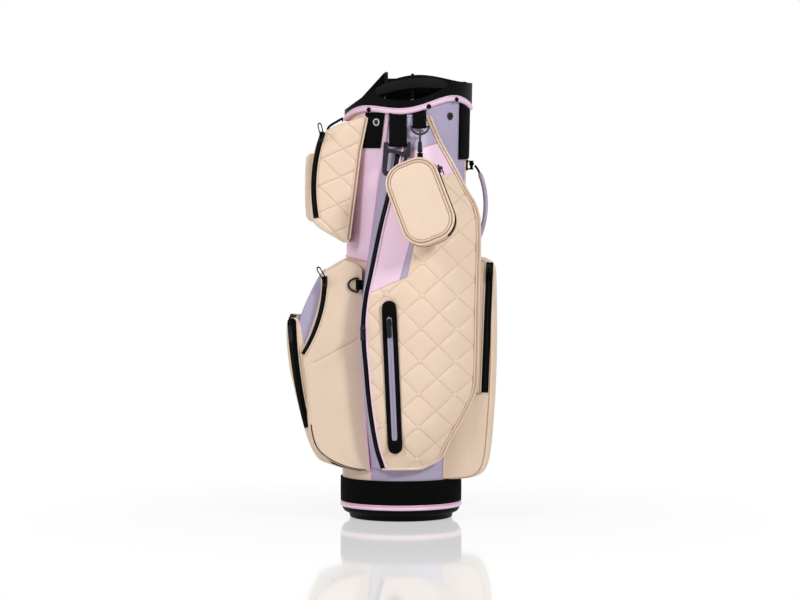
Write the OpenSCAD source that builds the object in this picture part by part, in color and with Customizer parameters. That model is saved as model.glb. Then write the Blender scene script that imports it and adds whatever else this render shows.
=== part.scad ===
// Golf cart bag: a padded tube with a moulded collar and base, club dividers and zipped pockets.
// Millimetres, +Z up. The origin is the centre of the foot on the floor.
// -X is the front with the ball pocket, +X the back with the lift handle, -Y the right side.

/* [Base] */
// How far the foot is set in from the tube's outside
foot_inset = 16; // [10:1:24]
// Height of the foot's straight lower tier
foot_h = 13; // [10:1:16]
// Height of the flange that carries the tube
flange_top = 23; // [22:1:30]
// Thickness of the foot's floor
floor_t = 18; // [14:1:19]
// Height of the upstanding lugs that the tube slips over
rim_top = 66; // [50:1:80]
// Number of these lugs
lug_count = 8; // [6:1:12]
// Width of each lug
lug_w = 30; // [20:1:36]
// Width of the four relief notches under the foot
notch_w = 102; // [60:1:110]
// Height of the relief notches
notch_h = 4; // [2:0.5:6]
// Height of the piping ring on the flange
piping_h = 11; // [8:1:14]
// Height of the base band
band_h = 48; // [30:1:60]
// Thickness of the base band
band_t = 2.4; // [1.5:0.1:4]

/* [Tube] */
// Outside radius of the padded tube
tube_r = 118; // [112:1:124]
// Thickness of the padded wall
tube_wall = 3; // [2:0.5:4]
// How far the tube leans back, in degrees
lean = 1.1; // [0:0.1:1.6]
// Half the angle of the pink front wall, in degrees
front_half = 70; // [62:1:76]
// Height of the seam between the lower and upper front wall
front_seam = 520; // [440:5:540]
// Width of each stay
stay_w = 12; // [8:1:16]
// Thickness of each stay
stay_t = 2.6; // [1.5:0.1:3.5]

/* [Dividers] */
// Thickness of a divider sheet
sheet_t = 3; // [2:0.5:4]
// Thickness of a moulded divider wall
rail_t = 6; // [4:0.5:8]
// Distance between the cross walls
row_pitch = 52; // [46:1:54]
// Height of the ridge of the first cross wall above the rails' foot
ridge_h = 51; // [44:1:54]

/* [Collar] */
// Mean height of the collar's wavy lower edge
collar_z = 825; // [800:1:850]
// Mean height of the rim above that edge
collar_h = 33; // [30:1:40]
// Wall of the collar
collar_wall = 7; // [5:0.5:9]
// Height of the trim band under the collar
trim_h = 13; // [10:1:16]
// How far the trim stands out from the collar
trim_proud = 2; // [1:0.5:4]
// Length of each hand opening
hand_w = 133; // [110:1:140]
// Height of a hand grip
grip_h = 20; // [16:1:22]
// Thickness of a hand grip
grip_t = 4.4; // [3:0.2:6]

/* [Front pockets] */
// Depth of the upper pocket in front of the tube
upper_depth = 64; // [50:1:72]
// Half the width of the upper pocket
upper_half = 88; // [76:1:92]
// Lowest point of the upper pocket
upper_bottom = 552; // [540:1:580]
// Depth of the thin pocket on the upper pocket
upper_outer_t = 10; // [6:1:14]
// Depth of the ball pocket in front of the tube
ball_depth = 78; // [66:1:86]
// Half the width of the ball pocket
ball_half = 105; // [98:1:108]
// Lowest point of the ball pocket
ball_bottom = 103; // [95:1:115]
// Top of the ball pocket at the tube
ball_top = 522; // [490:1:535]
// Depth of the outer pocket on the ball pocket
outer_t = 31; // [20:1:36]
// Half the width of the outer pocket and the gusset
outer_half = 88; // [76:1:96]

/* [Side and back pockets] */
// Lower end of the garment pockets
side_bottom = 108; // [100:1:120]
// How far the garment pockets end under the collar's mean edge
side_drop = 24; // [22:1:40]
// Bulge of the garment panel at its fullest
side_bulge = 41; // [30:1:46]
// Depth of the back pocket behind the tube
back_depth = 66; // [50:1:76]
// Half the width of the back pocket
back_half = 84; // [70:1:86]
// Lower end of the back pocket
back_bottom = 96; // [90:1:120]
// Upper end of the back pocket
back_top = 521; // [480:1:525]
// Length of the welt pocket's frame
welt_len = 299; // [240:1:310]
// Width of the welt pocket's frame
welt_w = 27; // [24:1:34]
// Width of the zip slot in the welt frame
welt_slot = 11; // [10:0.5:14]

/* [Zips] */
// Width of a zip tape
tape_w = 10; // [8:0.5:12]
// Thickness of a zip tape
tape_t = 1.6; // [1:0.1:2]
// Radius of the pin that carries a zip pull
pull_pin_r = 1.2; // [1:0.1:1.4]
// Length of a flat zip pull
pull_len = 24; // [18:1:30]

/* [Hanging pieces] */
// Wire radius of the D-rings
ring_wire = 1.8; // [1.4:0.1:2.2]
// Radius of the large D-ring's bow
ring_r = 17; // [15:1:20]
// Radius of the ball pocket's D-ring
ball_ring_r = 13; // [11:1:15]
// Angle at which the ring and clip hang over the garment pocket
hang_tilt = 27; // [25:0.5:29]
// Width of the pouch
pouch_w = 104; // [90:1:110]
// Height of the pouch
pouch_h = 168; // [156:1:170]
// Depth of the pouch
pouch_d = 36; // [28:1:40]
// Thickness of the carabiner
hook_t = 8; // [7:0.5:10]
// Stand-off of the lift handle from the tube
handle_out = 30; // [26:1:36]

/* [Hidden] */
$fn = 64;

beige = "#e3ccb6";
pink = "#ecc8df";
lilac = "#b3a8c6";
black = "#141414";
charcoal = "#3a3a3d";
silver = "#b8b8bc";

// Clearance between pieces that lie on each other
gap = 0.4;
// Height about which the tube leans
lean_z = 60;
band_r = tube_r + 0.9;
inner_r = tube_r - tube_wall;
collar_in = tube_r + 2;
collar_r = collar_in + collar_wall;
trim_r = collar_r + trim_proud;
band_bottom = flange_top + piping_h + gap;
tube_bottom = flange_top + 3;
sheet_bottom = floor_t + 3.4;
rail_z = collar_z + 13;
ridge_z = rail_z + ridge_h;
side_top = collar_z - side_drop;
front_x = -tube_r;

// How far back the tube's axis is at height z
function axis_x(z) = (z - lean_z) * tan(lean);
function unit(v) = v / norm(v);

// Arc that rounds the corner b between a and c with radius r
function fillet(a, b, c, r, n) = let (
    u = unit(a - b),
    w = unit(c - b),
    half = acos(u * w) / 2,
    d = min(r, 0.49 * min(norm(a - b), norm(c - b)) * tan(half)),
    o = b + unit(u + w) * d / sin(half),
    p = b + u * d / tan(half) - o,
    q = b + w * d / tan(half) - o,
    a0 = atan2(p[1], p[0]),
    turn = (atan2(q[1], q[0]) - a0 + 540) % 360 - 180
) [for (i = [0 : n]) o + d * [cos(a0 + turn * i / n), sin(a0 + turn * i / n)]];

// Outline with a radius at each corner: the list holds [x, y, radius]
function rounded(pts, n = 6) = [for (i = [0 : len(pts) - 1]) let (
    k = len(pts),
    a = pts[(i + k - 1) % k],
    b = pts[i],
    c = pts[(i + 1) % k]
) each fillet([a[0], a[1]], [b[0], b[1]], [c[0], c[1]], b[2], n)];

// Smooth curve through hand-picked knots [t, value]
function span(k, t, i = 0) = (i >= len(k) - 2 || t < k[i + 1][0]) ? i : span(k, t, i + 1);
function slope(k, i) = let (a = max(i - 1, 0), b = min(i + 1, len(k) - 1))
    (k[b][1] - k[a][1]) / (k[b][0] - k[a][0]);
function curve(k, t) = let (
    i = span(k, t),
    h = k[i + 1][0] - k[i][0],
    s = (t - k[i][0]) / h
) (1 + 2 * s) * (1 - s) ^ 2 * k[i][1] + s * (1 - s) ^ 2 * h * slope(k, i)
    + s ^ 2 * (3 - 2 * s) * k[i + 1][1] + s ^ 2 * (s - 1) * h * slope(k, i + 1);

// Height of the collar's wavy lower edge and of its rim, at angle p from the front
function wave_z(p) = collar_z - 12.7 * cos(p) - 1.3 * cos(2 * p) + 1.7 * cos(3 * p) - 8 * cos(4 * p);
function rim_z(p) = collar_z + collar_h - 24.5 * cos(p) - 19.5 * cos(2 * p) - 2.3 * cos(3 * p)
    + 2.6 * cos(4 * p);

// Solid through a list of closed rings of equal length
module skin(rings, closed = false) {
    n = len(rings[0]);
    m = len(rings);
    pts = [for (r = rings) each r];
    walls = [for (i = [0 : m - (closed ? 1 : 2)], j = [0 : n - 1]) let (
        a = i * n,
        b = ((i + 1) % m) * n,
        k = (j + 1) % n
    ) each [[a + j, a + k, b + k], [a + j, b + k, b + j]]];
    ends = closed ? [] : [[for (j = [n - 1 : -1 : 0]) j], [for (j = [0 : n - 1]) (m - 1) * n + j]];
    polyhedron(points = pts, faces = concat(walls, ends), convexity = 8);
}

// Ring whose section runs from r0 to r1 and from a lower to an upper height at each angle
module wave_ring(r0, r1, low, high, n = 90) {
    skin([for (i = [0 : n - 1]) let (p = i * 360 / n, a = low(p), b = high(p))
        [for (q = [[r0, a], [r0, b], [r1, b], [r1, a]])
            [axis_x(q[1]) - q[0] * cos(p), -q[0] * sin(p), q[1]]]], closed = true);
}

module leaning() {
    translate([0, 0, lean_z]) rotate([0, lean, 0]) translate([0, 0, -lean_z]) children();
}

// Curved plate on the tube between two angles and two heights
module tube_plate(r0, t, a0, a1, z0, z1) {
    leaning() rotate([0, 0, a0]) rotate_extrude(angle = a1 - a0)
        translate([r0, z0]) square([t, z1 - z0]);
}

module tube_core(extra) {
    leaning() translate([0, 0, -40]) cylinder(h = 1100, r = tube_r + extra);
}

module side_prism(pts, half) {
    rotate([90, 0, 0]) translate([0, 0, -half]) linear_extrude(2 * half) polygon(pts);
}

// A place on a face that looks to the right: x points out, y back and z up, turned by tilt
module on_face(x, y, z, tilt = 0) {
    translate([x, y, z]) rotate([0, 0, -90]) rotate([tilt, 0, 0]) children();
}

// Base

rim_r = inner_r - 1.6;
well_r = tube_r - foot_inset - 4;

module base_foot() {
    r0 = tube_r - foot_inset;
    r1 = tube_r - 1;
    color(black) difference() {
        union() {
            rotate_extrude() polygon([[0, 0], [r0 - 3, 0], [r0, 3], [r0, foot_h], [r1, flange_top - 5],
                [r1, flange_top], [rim_r - 4, flange_top], [rim_r - 4, flange_top - 2], [well_r, floor_t],
                [0, floor_t]]);
            intersection() {
                rotate_extrude() polygon([[rim_r - 4, flange_top - 1], [rim_r, flange_top - 1],
                    [rim_r, rim_top], [rim_r - 4, rim_top]]);
                for (i = [0 : lug_count - 1])
                    rotate([0, 0, (i + 0.5) * 360 / lug_count]) translate([0, -lug_w / 2, 0])
                        cube([tube_r, lug_w, rim_top + 1]);
            }
        }
        for (a = [0 : 90 : 270])
            rotate([0, 0, a]) translate([r0 - 16, -notch_w / 2, -1]) cube([40, notch_w, notch_h + 1]);
    }
}

module base_piping() {
    r = band_r + band_t;
    color(pink) rotate_extrude() polygon(rounded([[band_r, flange_top + gap, 0.5],
        [r + 0.8, flange_top + gap, 2.5], [r + 0.8, flange_top + 7, 2.5], [r - 0.4, flange_top + 8, 0.5],
        [r - 0.4, flange_top + piping_h, 0.5], [band_r, flange_top + piping_h, 0.5]]));
}

module base_band() {
    color(black) translate([0, 0, band_bottom]) difference() {
        cylinder(h = band_h, r = band_r + band_t);
        translate([0, 0, -1]) cylinder(h = band_h + 2, r = band_r);
    }
}

module base_board() {
    color(charcoal) translate([0, 0, floor_t + gap]) cylinder(h = 2.4, r = well_r - 0.6);
}

// Tube wall and what stiffens it

front_a = 180 - front_half;
back_half_a = 15;

module wall(a0, a1, z0, z1) {
    tube_plate(inner_r, tube_wall, a0, a1, z0, z1);
}

// Side wall: its top steps down towards the front, under the hand opening
module side_wall() {
    a0 = 360 - front_a;
    a1 = 360 - back_half_a;
    step = (a1 - a0) / 3;
    difference() {
        wall(a0, a1, tube_bottom, collar_z + 11);
        tube_plate(inner_r - 1, tube_wall + 2, a0 - 1, a0 + step, collar_z - 3, collar_z + 20);
        tube_plate(inner_r - 1, tube_wall + 2, a0 + step - 1, a0 + 2 * step, collar_z + 7, collar_z + 20);
    }
}

module front_wall_upper() {
    color(pink) wall(front_a, 360 - front_a, front_seam, collar_z - 9);
}

module front_wall_lower() {
    color(beige) wall(front_a, 360 - front_a, tube_bottom, front_seam - gap);
}

module right_wall() {
    color(lilac) side_wall();
}

module left_wall() {
    color(lilac) mirror([0, 1, 0]) side_wall();
}

module back_wall() {
    color(lilac) wall(-back_half_a, back_half_a, tube_bottom, collar_z + 3);
}

module wall_stays() {
    w = stay_w / inner_r * 180 / PI;
    color(silver) for (a = [68, 180, 292])
        tube_plate(inner_r - gap - stay_t, stay_t, a - w / 2, a + w / 2, rim_top + 3, collar_z - 12);
}

// Club dividers: three cross walls make four rows, and bay walls part each row

cross_x = [for (i = [-1 : 1]) 23 + i * row_pitch];
bay_y = [[-37, 37], [-53, 0, 53], [-53, 0, 53], [-35, 35]];
row_edge = concat([-300], cross_x, [300]);
rail_top = [collar_z + 51, collar_z + 47, collar_z + 45];
// Foot of the bay walls in each row
rail_foot = [collar_z - 5, rail_z, rail_z, rail_z];

// Room for the sheets: the foot's well, its rim and the tube above
module sheet_core() {
    cylinder(h = flange_top - 2, r = well_r - 0.6);
    translate([0, 0, flange_top - 2.6]) cylinder(h = rim_top - flange_top + 3, r = rim_r - 4.6);
    intersection() {
        tube_core(-tube_wall - gap);
        translate([-300, -300, rim_top + 0.4]) cube([600, 600, 1000]);
    }
}

module divider_sheets() {
    color(charcoal) {
        for (x = cross_x) intersection() {
            translate([x - sheet_t / 2, -tube_r, sheet_bottom])
                cube([sheet_t, 2 * tube_r, rail_z - sheet_bottom]);
            sheet_core();
        }
        for (row = [0 : 3], y = bay_y[row]) intersection() {
            translate([row_edge[row] + sheet_t / 2 + gap, y - sheet_t / 2, sheet_bottom])
                cube([row_edge[row + 1] - row_edge[row] - sheet_t - 2 * gap, sheet_t,
                    rail_foot[row] - sheet_bottom]);
            sheet_core();
        }
    }
}

// Outline of a cross wall seen from the front: level in the middle, falling to the rim at the sides
function cross_outline(top, half, fall) = rounded([[-tube_r - 20, rail_z, 1], [tube_r + 20, rail_z, 1],
    [tube_r + 20, top - fall, 1], [half + fall, top - fall, 20], [half, top, 20], [-half, top, 20],
    [-half - fall, top - fall, 20], [-tube_r - 20, top - fall, 1]]);

module cross_rail(x, top, half, fall) {
    intersection() {
        translate([x - rail_t / 2, 0, 0]) rotate([90, 0, 90])
            linear_extrude(rail_t) polygon(cross_outline(top, half, fall));
        tube_core(collar_in - tube_r - gap);
    }
}

module divider_rails() {
    // Fall of the front bay walls from the ridge towards the front rim
    ramp = 1.1;
    x0 = cross_x[0] - rail_t / 2 - gap;
    color(black) {
        cross_rail(cross_x[0], ridge_z, 62, 26);
        cross_rail(cross_x[1], collar_z + 62, 14, 10);
        cross_rail(cross_x[2], collar_z + 50, 60, 8);
        for (y = bay_y[0]) intersection() {
            side_prism([[x0, ridge_z], [x0, rail_foot[0]],
                [x0 - (ridge_z - rail_foot[0]) / ramp, rail_foot[0]]], tube_r);
            translate([-300, y - rail_t / 2, 0]) cube([600, rail_t, 1200]);
            tube_core(collar_in - tube_r - gap);
        }
        for (row = [1 : 3], y = bay_y[row]) intersection() {
            translate([row_edge[row] + rail_t / 2 + gap, y - rail_t / 2, rail_z])
                cube([row_edge[row + 1] - row_edge[row] - rail_t - 2 * gap, rail_t,
                    rail_top[row - 1] - rail_z]);
            tube_core(collar_in - tube_r - gap);
        }
    }
}

// Collar, its trim and its grips

hand_mid = [20, collar_z + 24];
hand_rise = 7.8;
hand_low = 16.6;
hand_up = 6.5;

// Radius of an arc with the given chord and rise
function arc_r(chord, rise) = chord ^ 2 / 8 / rise + rise / 2;

module hand_opening() {
    ra = arc_r(hand_w, hand_low);
    rb = arc_r(hand_w, hand_up);
    translate([hand_mid[0], 0, hand_mid[1]]) rotate([0, -hand_rise, 0]) rotate([90, 0, 0])
        translate([0, 0, -200]) linear_extrude(400) intersection() {
            translate([0, ra - hand_low]) circle(ra, $fn = 128);
            translate([0, hand_up - rb]) circle(rb, $fn = 128);
        }
}

module collar() {
    color(black) difference() {
        wave_ring(collar_in, collar_r, function (p) wave_z(p), function (p) rim_z(p));
        hand_opening();
    }
}

module collar_trim() {
    color(pink) wave_ring(tube_r + gap, trim_r, function (p) wave_z(p) - trim_h,
        function (p) wave_z(p) - gap);
}

// Angles from the front at which the collar carries studs
stud_p = [0, 53, 108, 137];

module collar_studs() {
    color(black) {
        for (p = stud_p) stud(p);
        for (p = stud_p) if (p > 0) stud(-p);
    }
}

module stud(p) {
    z = wave_z(p) - trim_h + 3.5;
    translate([axis_x(z), 0, z]) rotate([0, 0, 180 + p]) translate([trim_r + gap, 0, 0])
        rotate([0, 90, 0]) cylinder(h = 3, r1 = 5, r2 = 3.4);
}

module hand_grip() {
    n = 24;
    // The grip follows the arch over the hand opening, with rounded ends
    skin([for (i = [0 : n]) let (
        e = 2 * i / n - 1,
        x = hand_mid[0] + e * (hand_w / 2 + 2),
        z = collar_z + 41 - 17 * ((x - 45) / 93) ^ 2,
        h = grip_h / 2 * sqrt(1 - 0.8 * e ^ 6),
        t = grip_t * sqrt(1 - 0.7 * e ^ 6),
        c = axis_x(z),
        p = acos((c - x) / collar_r),
        r = collar_r + gap
    ) [for (q = [[0, -0.9], [0, 0.9], [0.6, 1], [1, 0.5], [1, -0.5], [0.6, -1]])
        [c - (r + q[0] * t) * cos(p), -(r + q[0] * t) * sin(p), z + q[1] * h]]]);
}

module hand_grips() {
    color(charcoal) {
        hand_grip();
        mirror([0, 1, 0]) hand_grip();
    }
}

// Front pockets: a side outline and a plan outline meet, and the tube is cut away

upper_top = collar_z - 51;
upper_pts = rounded([[front_x - upper_depth + 20, upper_top, 14], [front_x + 52, upper_top + 28, 3],
    [front_x + 38, upper_top - 40, 60], [front_x + 16, upper_bottom + 6, 14],
    [front_x + 4, upper_bottom, 10], [front_x - upper_depth + 8, upper_bottom + 34, 18],
    [front_x - upper_depth, upper_bottom + 62, 40], [front_x - upper_depth + 6, upper_top - 74, 60]]);

module pocket_plan(depth, half, back, r) {
    translate([0, 0, -1]) linear_extrude(1200) polygon(rounded([[front_x - depth, -half, r],
        [front_x - depth, half, r], [back, half, 2], [back, -half, 2]]));
}

module upper_pocket() {
    color(beige) difference() {
        intersection() {
            side_prism(upper_pts, upper_half);
            pocket_plan(upper_depth + 4, upper_half, front_x + 60, 10);
        }
        tube_core(gap);
    }
}

module upper_outer_pocket() {
    x = front_x - upper_depth - upper_outer_t;
    color(beige) difference() {
        intersection() {
            side_prism(rounded([[x + 34, upper_bottom + 186, 2], [x + 6, upper_bottom + 186, 6],
                [x, upper_bottom + 172, 10], [x, upper_bottom + 52, 14], [x + 10, upper_bottom + 34, 8],
                [x + 34, upper_bottom + 34, 2]]), upper_half - 14);
            pocket_plan(upper_depth + upper_outer_t, upper_half - 14, front_x, 8);
        }
        translate([-gap, 0, 0]) side_prism(upper_pts, upper_half + 5);
    }
}

ball_pts = rounded([[front_x + 42, ball_top + 4, 2], [front_x - 26, ball_top - 20, 14],
    [front_x - 41, ball_top - 29, 8], [front_x - 39.5, ball_top - 60, 30],
    [front_x - 44.5, ball_top - 92, 40], [front_x - 57.5, ball_top - 134, 60],
    [front_x - ball_depth - 3, ball_top - 192, 20],
    [front_x - ball_depth + 8, ball_bottom + 140, 60], [front_x - ball_depth + 19, ball_bottom + 60, 30],
    [front_x - ball_depth + 30, ball_bottom + 34, 24], [front_x - 22, ball_bottom + 16, 40],
    [front_x + 60, ball_bottom, 2]]);
gusset_pts = rounded([[front_x - 30, ball_top - 28, 2], [front_x - 41, ball_top - 27, 6],
    [front_x - 92, ball_top - 134, 10], [front_x - 92, ball_top - 190, 4],
    [front_x - ball_depth + 8, ball_top - 200, 2], [front_x - 48, ball_top - 128, 20]]);
outer_x = front_x - ball_depth - outer_t;
outer_pts = rounded([[outer_x + 6, ball_top - 116, 5], [outer_x, ball_top - 142, 14],
    [outer_x + 2, ball_top - 202, 60], [outer_x + 12, ball_top - 270, 60],
    [outer_x + 26, ball_bottom + 80, 30], [outer_x + 35, ball_bottom + 48, 10],
    [outer_x + 48, ball_bottom + 36, 6], [outer_x + 56, ball_bottom + 70, 10],
    [outer_x + 44, ball_top - 200, 10], [outer_x + 14, ball_top - 118, 5]]);

module ball_pocket() {
    // Line along which the pocket is sewn to the tube, beside the garment pocket
    seam_x = front_x + 37;
    color(beige) difference() {
        intersection() {
            side_prism(ball_pts, ball_half);
            pocket_plan(ball_depth + 4, ball_half, seam_x, 12);
        }
        tube_core(gap);
    }
}

module ball_gusset() {
    color(lilac) difference() {
        intersection() {
            side_prism(gusset_pts, outer_half);
            pocket_plan(100, outer_half, front_x, 8);
        }
        translate([-gap, 0, 0]) side_prism(ball_pts, ball_half + 5);
    }
}

module ball_outer_pocket() {
    color(beige) difference() {
        intersection() {
            side_prism(outer_pts, outer_half);
            pocket_plan(ball_depth + outer_t, outer_half, front_x, 10);
        }
        translate([-gap, 0, 0]) side_prism(ball_pts, ball_half + 5);
        translate([-gap, 0, 0]) side_prism(gusset_pts, ball_half + 5);
        translate([0, 0, gap]) side_prism(gusset_pts, ball_half + 5);
    }
}

// Zips. A straight tape lies on a face; its slider rides on it and carries a pull on a pin.
// Each place holds [x, y, z, tilt, length]: the top of the tape on its face.
// A curved tape holds [x, y, z, radius, angle, length, side]: the centre of its arc, the angle of its
// top end there, and the side of the centre on which it lies.

upper_zip = [front_x + 275.6, -upper_half, upper_top - 114, 330, 19.5, 172, -1];
ball_zip = [front_x - 314.3, -ball_half, ball_top - 38.8, 282, 0.6, 150, 1];
outer_zip = [outer_x + 1048.2, -outer_half, ball_top - 78.6, 1041.6, -2.83, 208, -1];
back_zip = [tube_r + back_depth - 10, -back_half, back_top - 8, -2.2, 258];

module zip_tape(w, length) {
    translate([gap, 0, 0]) rotate([0, 90, 0]) linear_extrude(tape_t)
        polygon(rounded([[0, -w / 2, 2], [length, -w / 2, 2], [length, w / 2, 2], [0, w / 2, 2]]));
}

slider_x = tape_t + 2 * gap;
pin_x = slider_x + 6.2;

// Body of a slider with two lugs and the pin between them
module zip_slider() {
    translate([slider_x, 0, 0]) rotate([0, 90, 0]) linear_extrude(3.4) polygon(rounded([[-8, -3.4, 3],
        [8, -5, 2], [8, 5, 2], [-8, 3.4, 3]]));
    for (s = [-1, 1])
        translate([slider_x + 3, s * 2.8, 0]) rotate([90, 0, 0]) linear_extrude(1.4, center = true)
            polygon(rounded([[0, -3.4, 0.2], [5, -2.2, 2], [5, 2.2, 2], [0, 3.4, 0.2]]));
    translate([pin_x, 0, 0]) rotate([90, 0, 0]) cylinder(h = 6, r = pull_pin_r, center = true, $fn = 32);
}

module pull_eye() {
    difference() {
        union() {
            translate([pin_x, 0, 0]) rotate([90, 0, 0])
                cylinder(h = 3.4, r = pull_pin_r + 1.2, center = true, $fn = 32);
            translate([pin_x - 0.9, -1.7, -7]) cube([1.8, 3.4, 7]);
        }
        translate([pin_x, 0, 0]) rotate([90, 0, 0])
            cylinder(h = 9, r = pull_pin_r + 0.08, center = true, $fn = 32);
    }
}

// Flat pull that hangs from its slider
module zip_pull(length, w) {
    pull_eye();
    translate([pin_x - 0.9, 0, 0]) rotate([0, 90, 0]) linear_extrude(1.8) polygon(rounded([[5, -2, 1],
        [10, -w / 2, 3], [length, -w / 2, 3], [length, w / 2, 3], [10, w / 2, 3], [5, 2, 1]]));
}

// Loop of stiff cord that stands up and forward from its slider
module cord_pull(length, w) {
    rotate([0, -150, 0]) {
        translate([-pin_x, 0, 0]) pull_eye();
        translate([0, 0, -6]) rotate([-30, 0, 0]) {
            rotate([90, 0, 0]) cylinder(h = w, r = 1.3, center = true, $fn = 24);
            for (s = [-1, 1])
                translate([0, s * w / 2, w / 2 - length]) cylinder(h = length - w / 2, r = 1.1, $fn = 24);
            translate([0, 0, w / 2 - length]) rotate([90, 0, 90])
                rotate_extrude(angle = -180) translate([w / 2, 0]) circle(1.1, $fn = 24);
        }
    }
}

module on_zip(zip, down) {
    on_face(zip[0], zip[1], zip[2], zip[3]) translate([0, 0, -down]) children();
}

// Angle and point of a curved tape, this far down from its top end
function arc_angle(zip, down) = zip[4] - down / zip[3] * 180 / PI;
function arc_point(zip, down, side) = let (a = arc_angle(zip, down))
    [zip[0] + zip[6] * (zip[3] + side) * cos(a), zip[2] + (zip[3] + side) * sin(a)];

module on_arc(zip, down) {
    p = arc_point(zip, down, 0);
    on_face(p[0], zip[1], p[1], zip[6] * arc_angle(zip, down)) children();
}

module arc_tape(zip) {
    n = 24;
    translate([0, zip[1] - gap, 0]) rotate([90, 0, 0]) linear_extrude(tape_t) polygon(concat(
        [for (i = [0 : n]) arc_point(zip, zip[5] * i / n, tape_w / 2)],
        [for (i = [n : -1 : 0]) arc_point(zip, zip[5] * i / n, -tape_w / 2)]));
}

module front_zip_tapes() {
    color(black) for (zip = [upper_zip, ball_zip, outer_zip]) arc_tape(zip);
}

// How far the sliders sit below the top of their tapes at rest
slider_down = 12;

module upper_zip_slider() {
    color(black) on_arc(upper_zip, slider_down) zip_slider();
}

module upper_zip_pull() {
    color(black) on_arc(upper_zip, slider_down) translate([pin_x, 0, 0]) cord_pull(18, 7);
}

module ball_zip_slider() {
    color(black) on_arc(ball_zip, slider_down) zip_slider();
}

module ball_zip_pull() {
    color(black) on_arc(ball_zip, slider_down) translate([pin_x, 0, 0]) cord_pull(18, 7);
}

module outer_zip_slider() {
    color(black) on_arc(outer_zip, slider_down) zip_slider();
}

module outer_zip_pull() {
    color(black) on_arc(outer_zip, slider_down) zip_pull(pull_len, 7);
}

// Garment pockets: plan sections from bottom to top. The knots hold [share of height, value].

left_k = [[0, -40], [0.06, -52.5], [0.149, -63.4], [0.216, -69.3], [0.284, -73.2], [0.352, -77.3],
    [0.41, -78.8], [0.487, -73.5], [0.554, -63.8], [0.622, -54], [0.69, -44], [0.757, -32.5],
    [0.85, -17], [0.935, -4], [1, 5]];
left_out_k = [[0, 16], [0.075, 24], [0.28, 28], [0.51, 28], [0.65, 27], [0.765, 24], [0.85, 18],
    [0.935, 10], [1, 3.5]];
sewn_k = [[0, -60], [0.155, -70], [0.35, -79], [0.505, -74], [0.65, -59], [0.735, -51], [0.82, -43],
    [0.92, -30], [1, -24]];
right_k = [[0, 40], [0.026, 76], [0.078, 96], [0.153, 126], [0.21, 145], [0.255, 150], [0.48, 153],
    [0.7, 155], [0.748, 147], [0.79, 130], [0.856, 106], [0.932, 77], [1, 57]];
right_out_k = [[0, 8], [0.026, -2], [0.078, -6], [0.153, -14], [0.21, -19], [0.48, -14], [0.7, -12],
    [0.748, -14], [0.79, -11], [0.856, -10], [0.932, -12], [1, -4]];
right_angle_k = [[0, 288], [0.078, 300], [0.21, 308], [0.7, 308], [0.79, 306], [0.856, 302],
    [0.932, 297], [1, 290]];
bulge_k = [[0, 0.2], [0.046, 0.5], [0.133, 0.83], [0.42, 1], [0.68, 0.95], [0.768, 0.8], [0.855, 0.56],
    [0.94, 0.29], [1, 0.085]];

function side_z(t) = side_bottom + t * (side_top - side_bottom);
function side_t(z) = (z - side_bottom) / (side_top - side_bottom);
function left_edge(t) = [curve(left_k, t), -tube_r - curve(left_out_k, t)];
function right_edge(t) = [curve(right_k, t), -tube_r - curve(right_out_k, t)];

// Point on the tube's skin at height z, where x is given
function skin_point(x, z) = [x, -sqrt((tube_r + gap + 0.2) ^ 2 - (x - axis_x(z)) ^ 2)];

// Point of the bulged panel between its two edges, s from 0 to 1
function panel_point(t, s) = let (
    a = left_edge(t),
    b = right_edge(t),
    d = b - a,
    n = unit([d[1], -d[0]])
) a + s * d + n * side_bulge * curve(bulge_k, t) * 4 * s * (1 - s);

module garment_pocket() {
    inner_n = 12;
    outer_n = 16;
    levels = [0, 0.012, 0.03, 0.055, 0.085, 0.12, 0.16, 0.2, 0.25, 0.32, 0.4, 0.48, 0.56, 0.64, 0.7,
        0.73, 0.76, 0.8, 0.85, 0.9, 0.95, 1];
    skin([for (t = levels) let (
        z = side_z(t),
        r = tube_r + gap + 0.2,
        b = skin_point(curve(sewn_k, t), z),
        a0 = atan2(b[1], b[0] - axis_x(z)) + 360,
        a1 = curve(right_angle_k, t)
    ) concat(
        [for (i = [0 : inner_n]) let (a = a1 + (a0 - a1) * i / inner_n)
            [axis_x(z) + r * cos(a), r * sin(a), z]],
        [for (i = [0 : outer_n]) let (p = panel_point(t, i / outer_n)) [p[0], p[1], z]]
    )]);
}

module right_pocket() {
    color(beige) garment_pocket();
}

module left_pocket() {
    color(beige) mirror([0, 1, 0]) garment_pocket();
}

// The long zip lies on the panel's front margin, just inside its edge
function margin_dir(t) = unit(panel_point(t, 1 / 16) - left_edge(t));
function margin_out(t) = let (u = margin_dir(t)) [u[1], -u[0]];
function tape_point(t, along, out) = let (p = left_edge(t) + margin_dir(t) * along + margin_out(t) * out)
    [p[0], p[1], side_z(t)];

module long_tape() {
    skin([for (t = [0.03 : 0.028 : 0.9])
        [tape_point(t, 2 + tape_w, gap + 0.4), tape_point(t, 2 + tape_w, gap + 0.4 + tape_t),
            tape_point(t, 2, gap + 0.4 + tape_t), tape_point(t, 2, gap + 0.4)]]);
}

module side_zip_tapes() {
    color(black) {
        long_tape();
        mirror([0, 1, 0]) long_tape();
    }
}

// Height of the long zip's slider, at the widest point of the panel
long_t = 0.4;

module on_long_zip() {
    p = tape_point(long_t, 2 + tape_w / 2, 1);
    o = margin_out(long_t);
    translate(p) rotate([0, 0, atan2(o[1], o[0])]) children();
}

module right_zip_slider() {
    color(black) on_long_zip() zip_slider();
}

module right_zip_pull() {
    color(black) on_long_zip() zip_pull(pull_len, 7);
}

module left_zip_slider() {
    color(black) mirror([0, 1, 0]) on_long_zip() zip_slider();
}

module left_zip_pull() {
    color(black) mirror([0, 1, 0]) on_long_zip() zip_pull(pull_len, 7);
}

// Welt pocket on the right garment panel: a frame with a zip in its slot

welt_z = 290;
welt_tilt = 2.1;
welt_share = 0.22;

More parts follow.
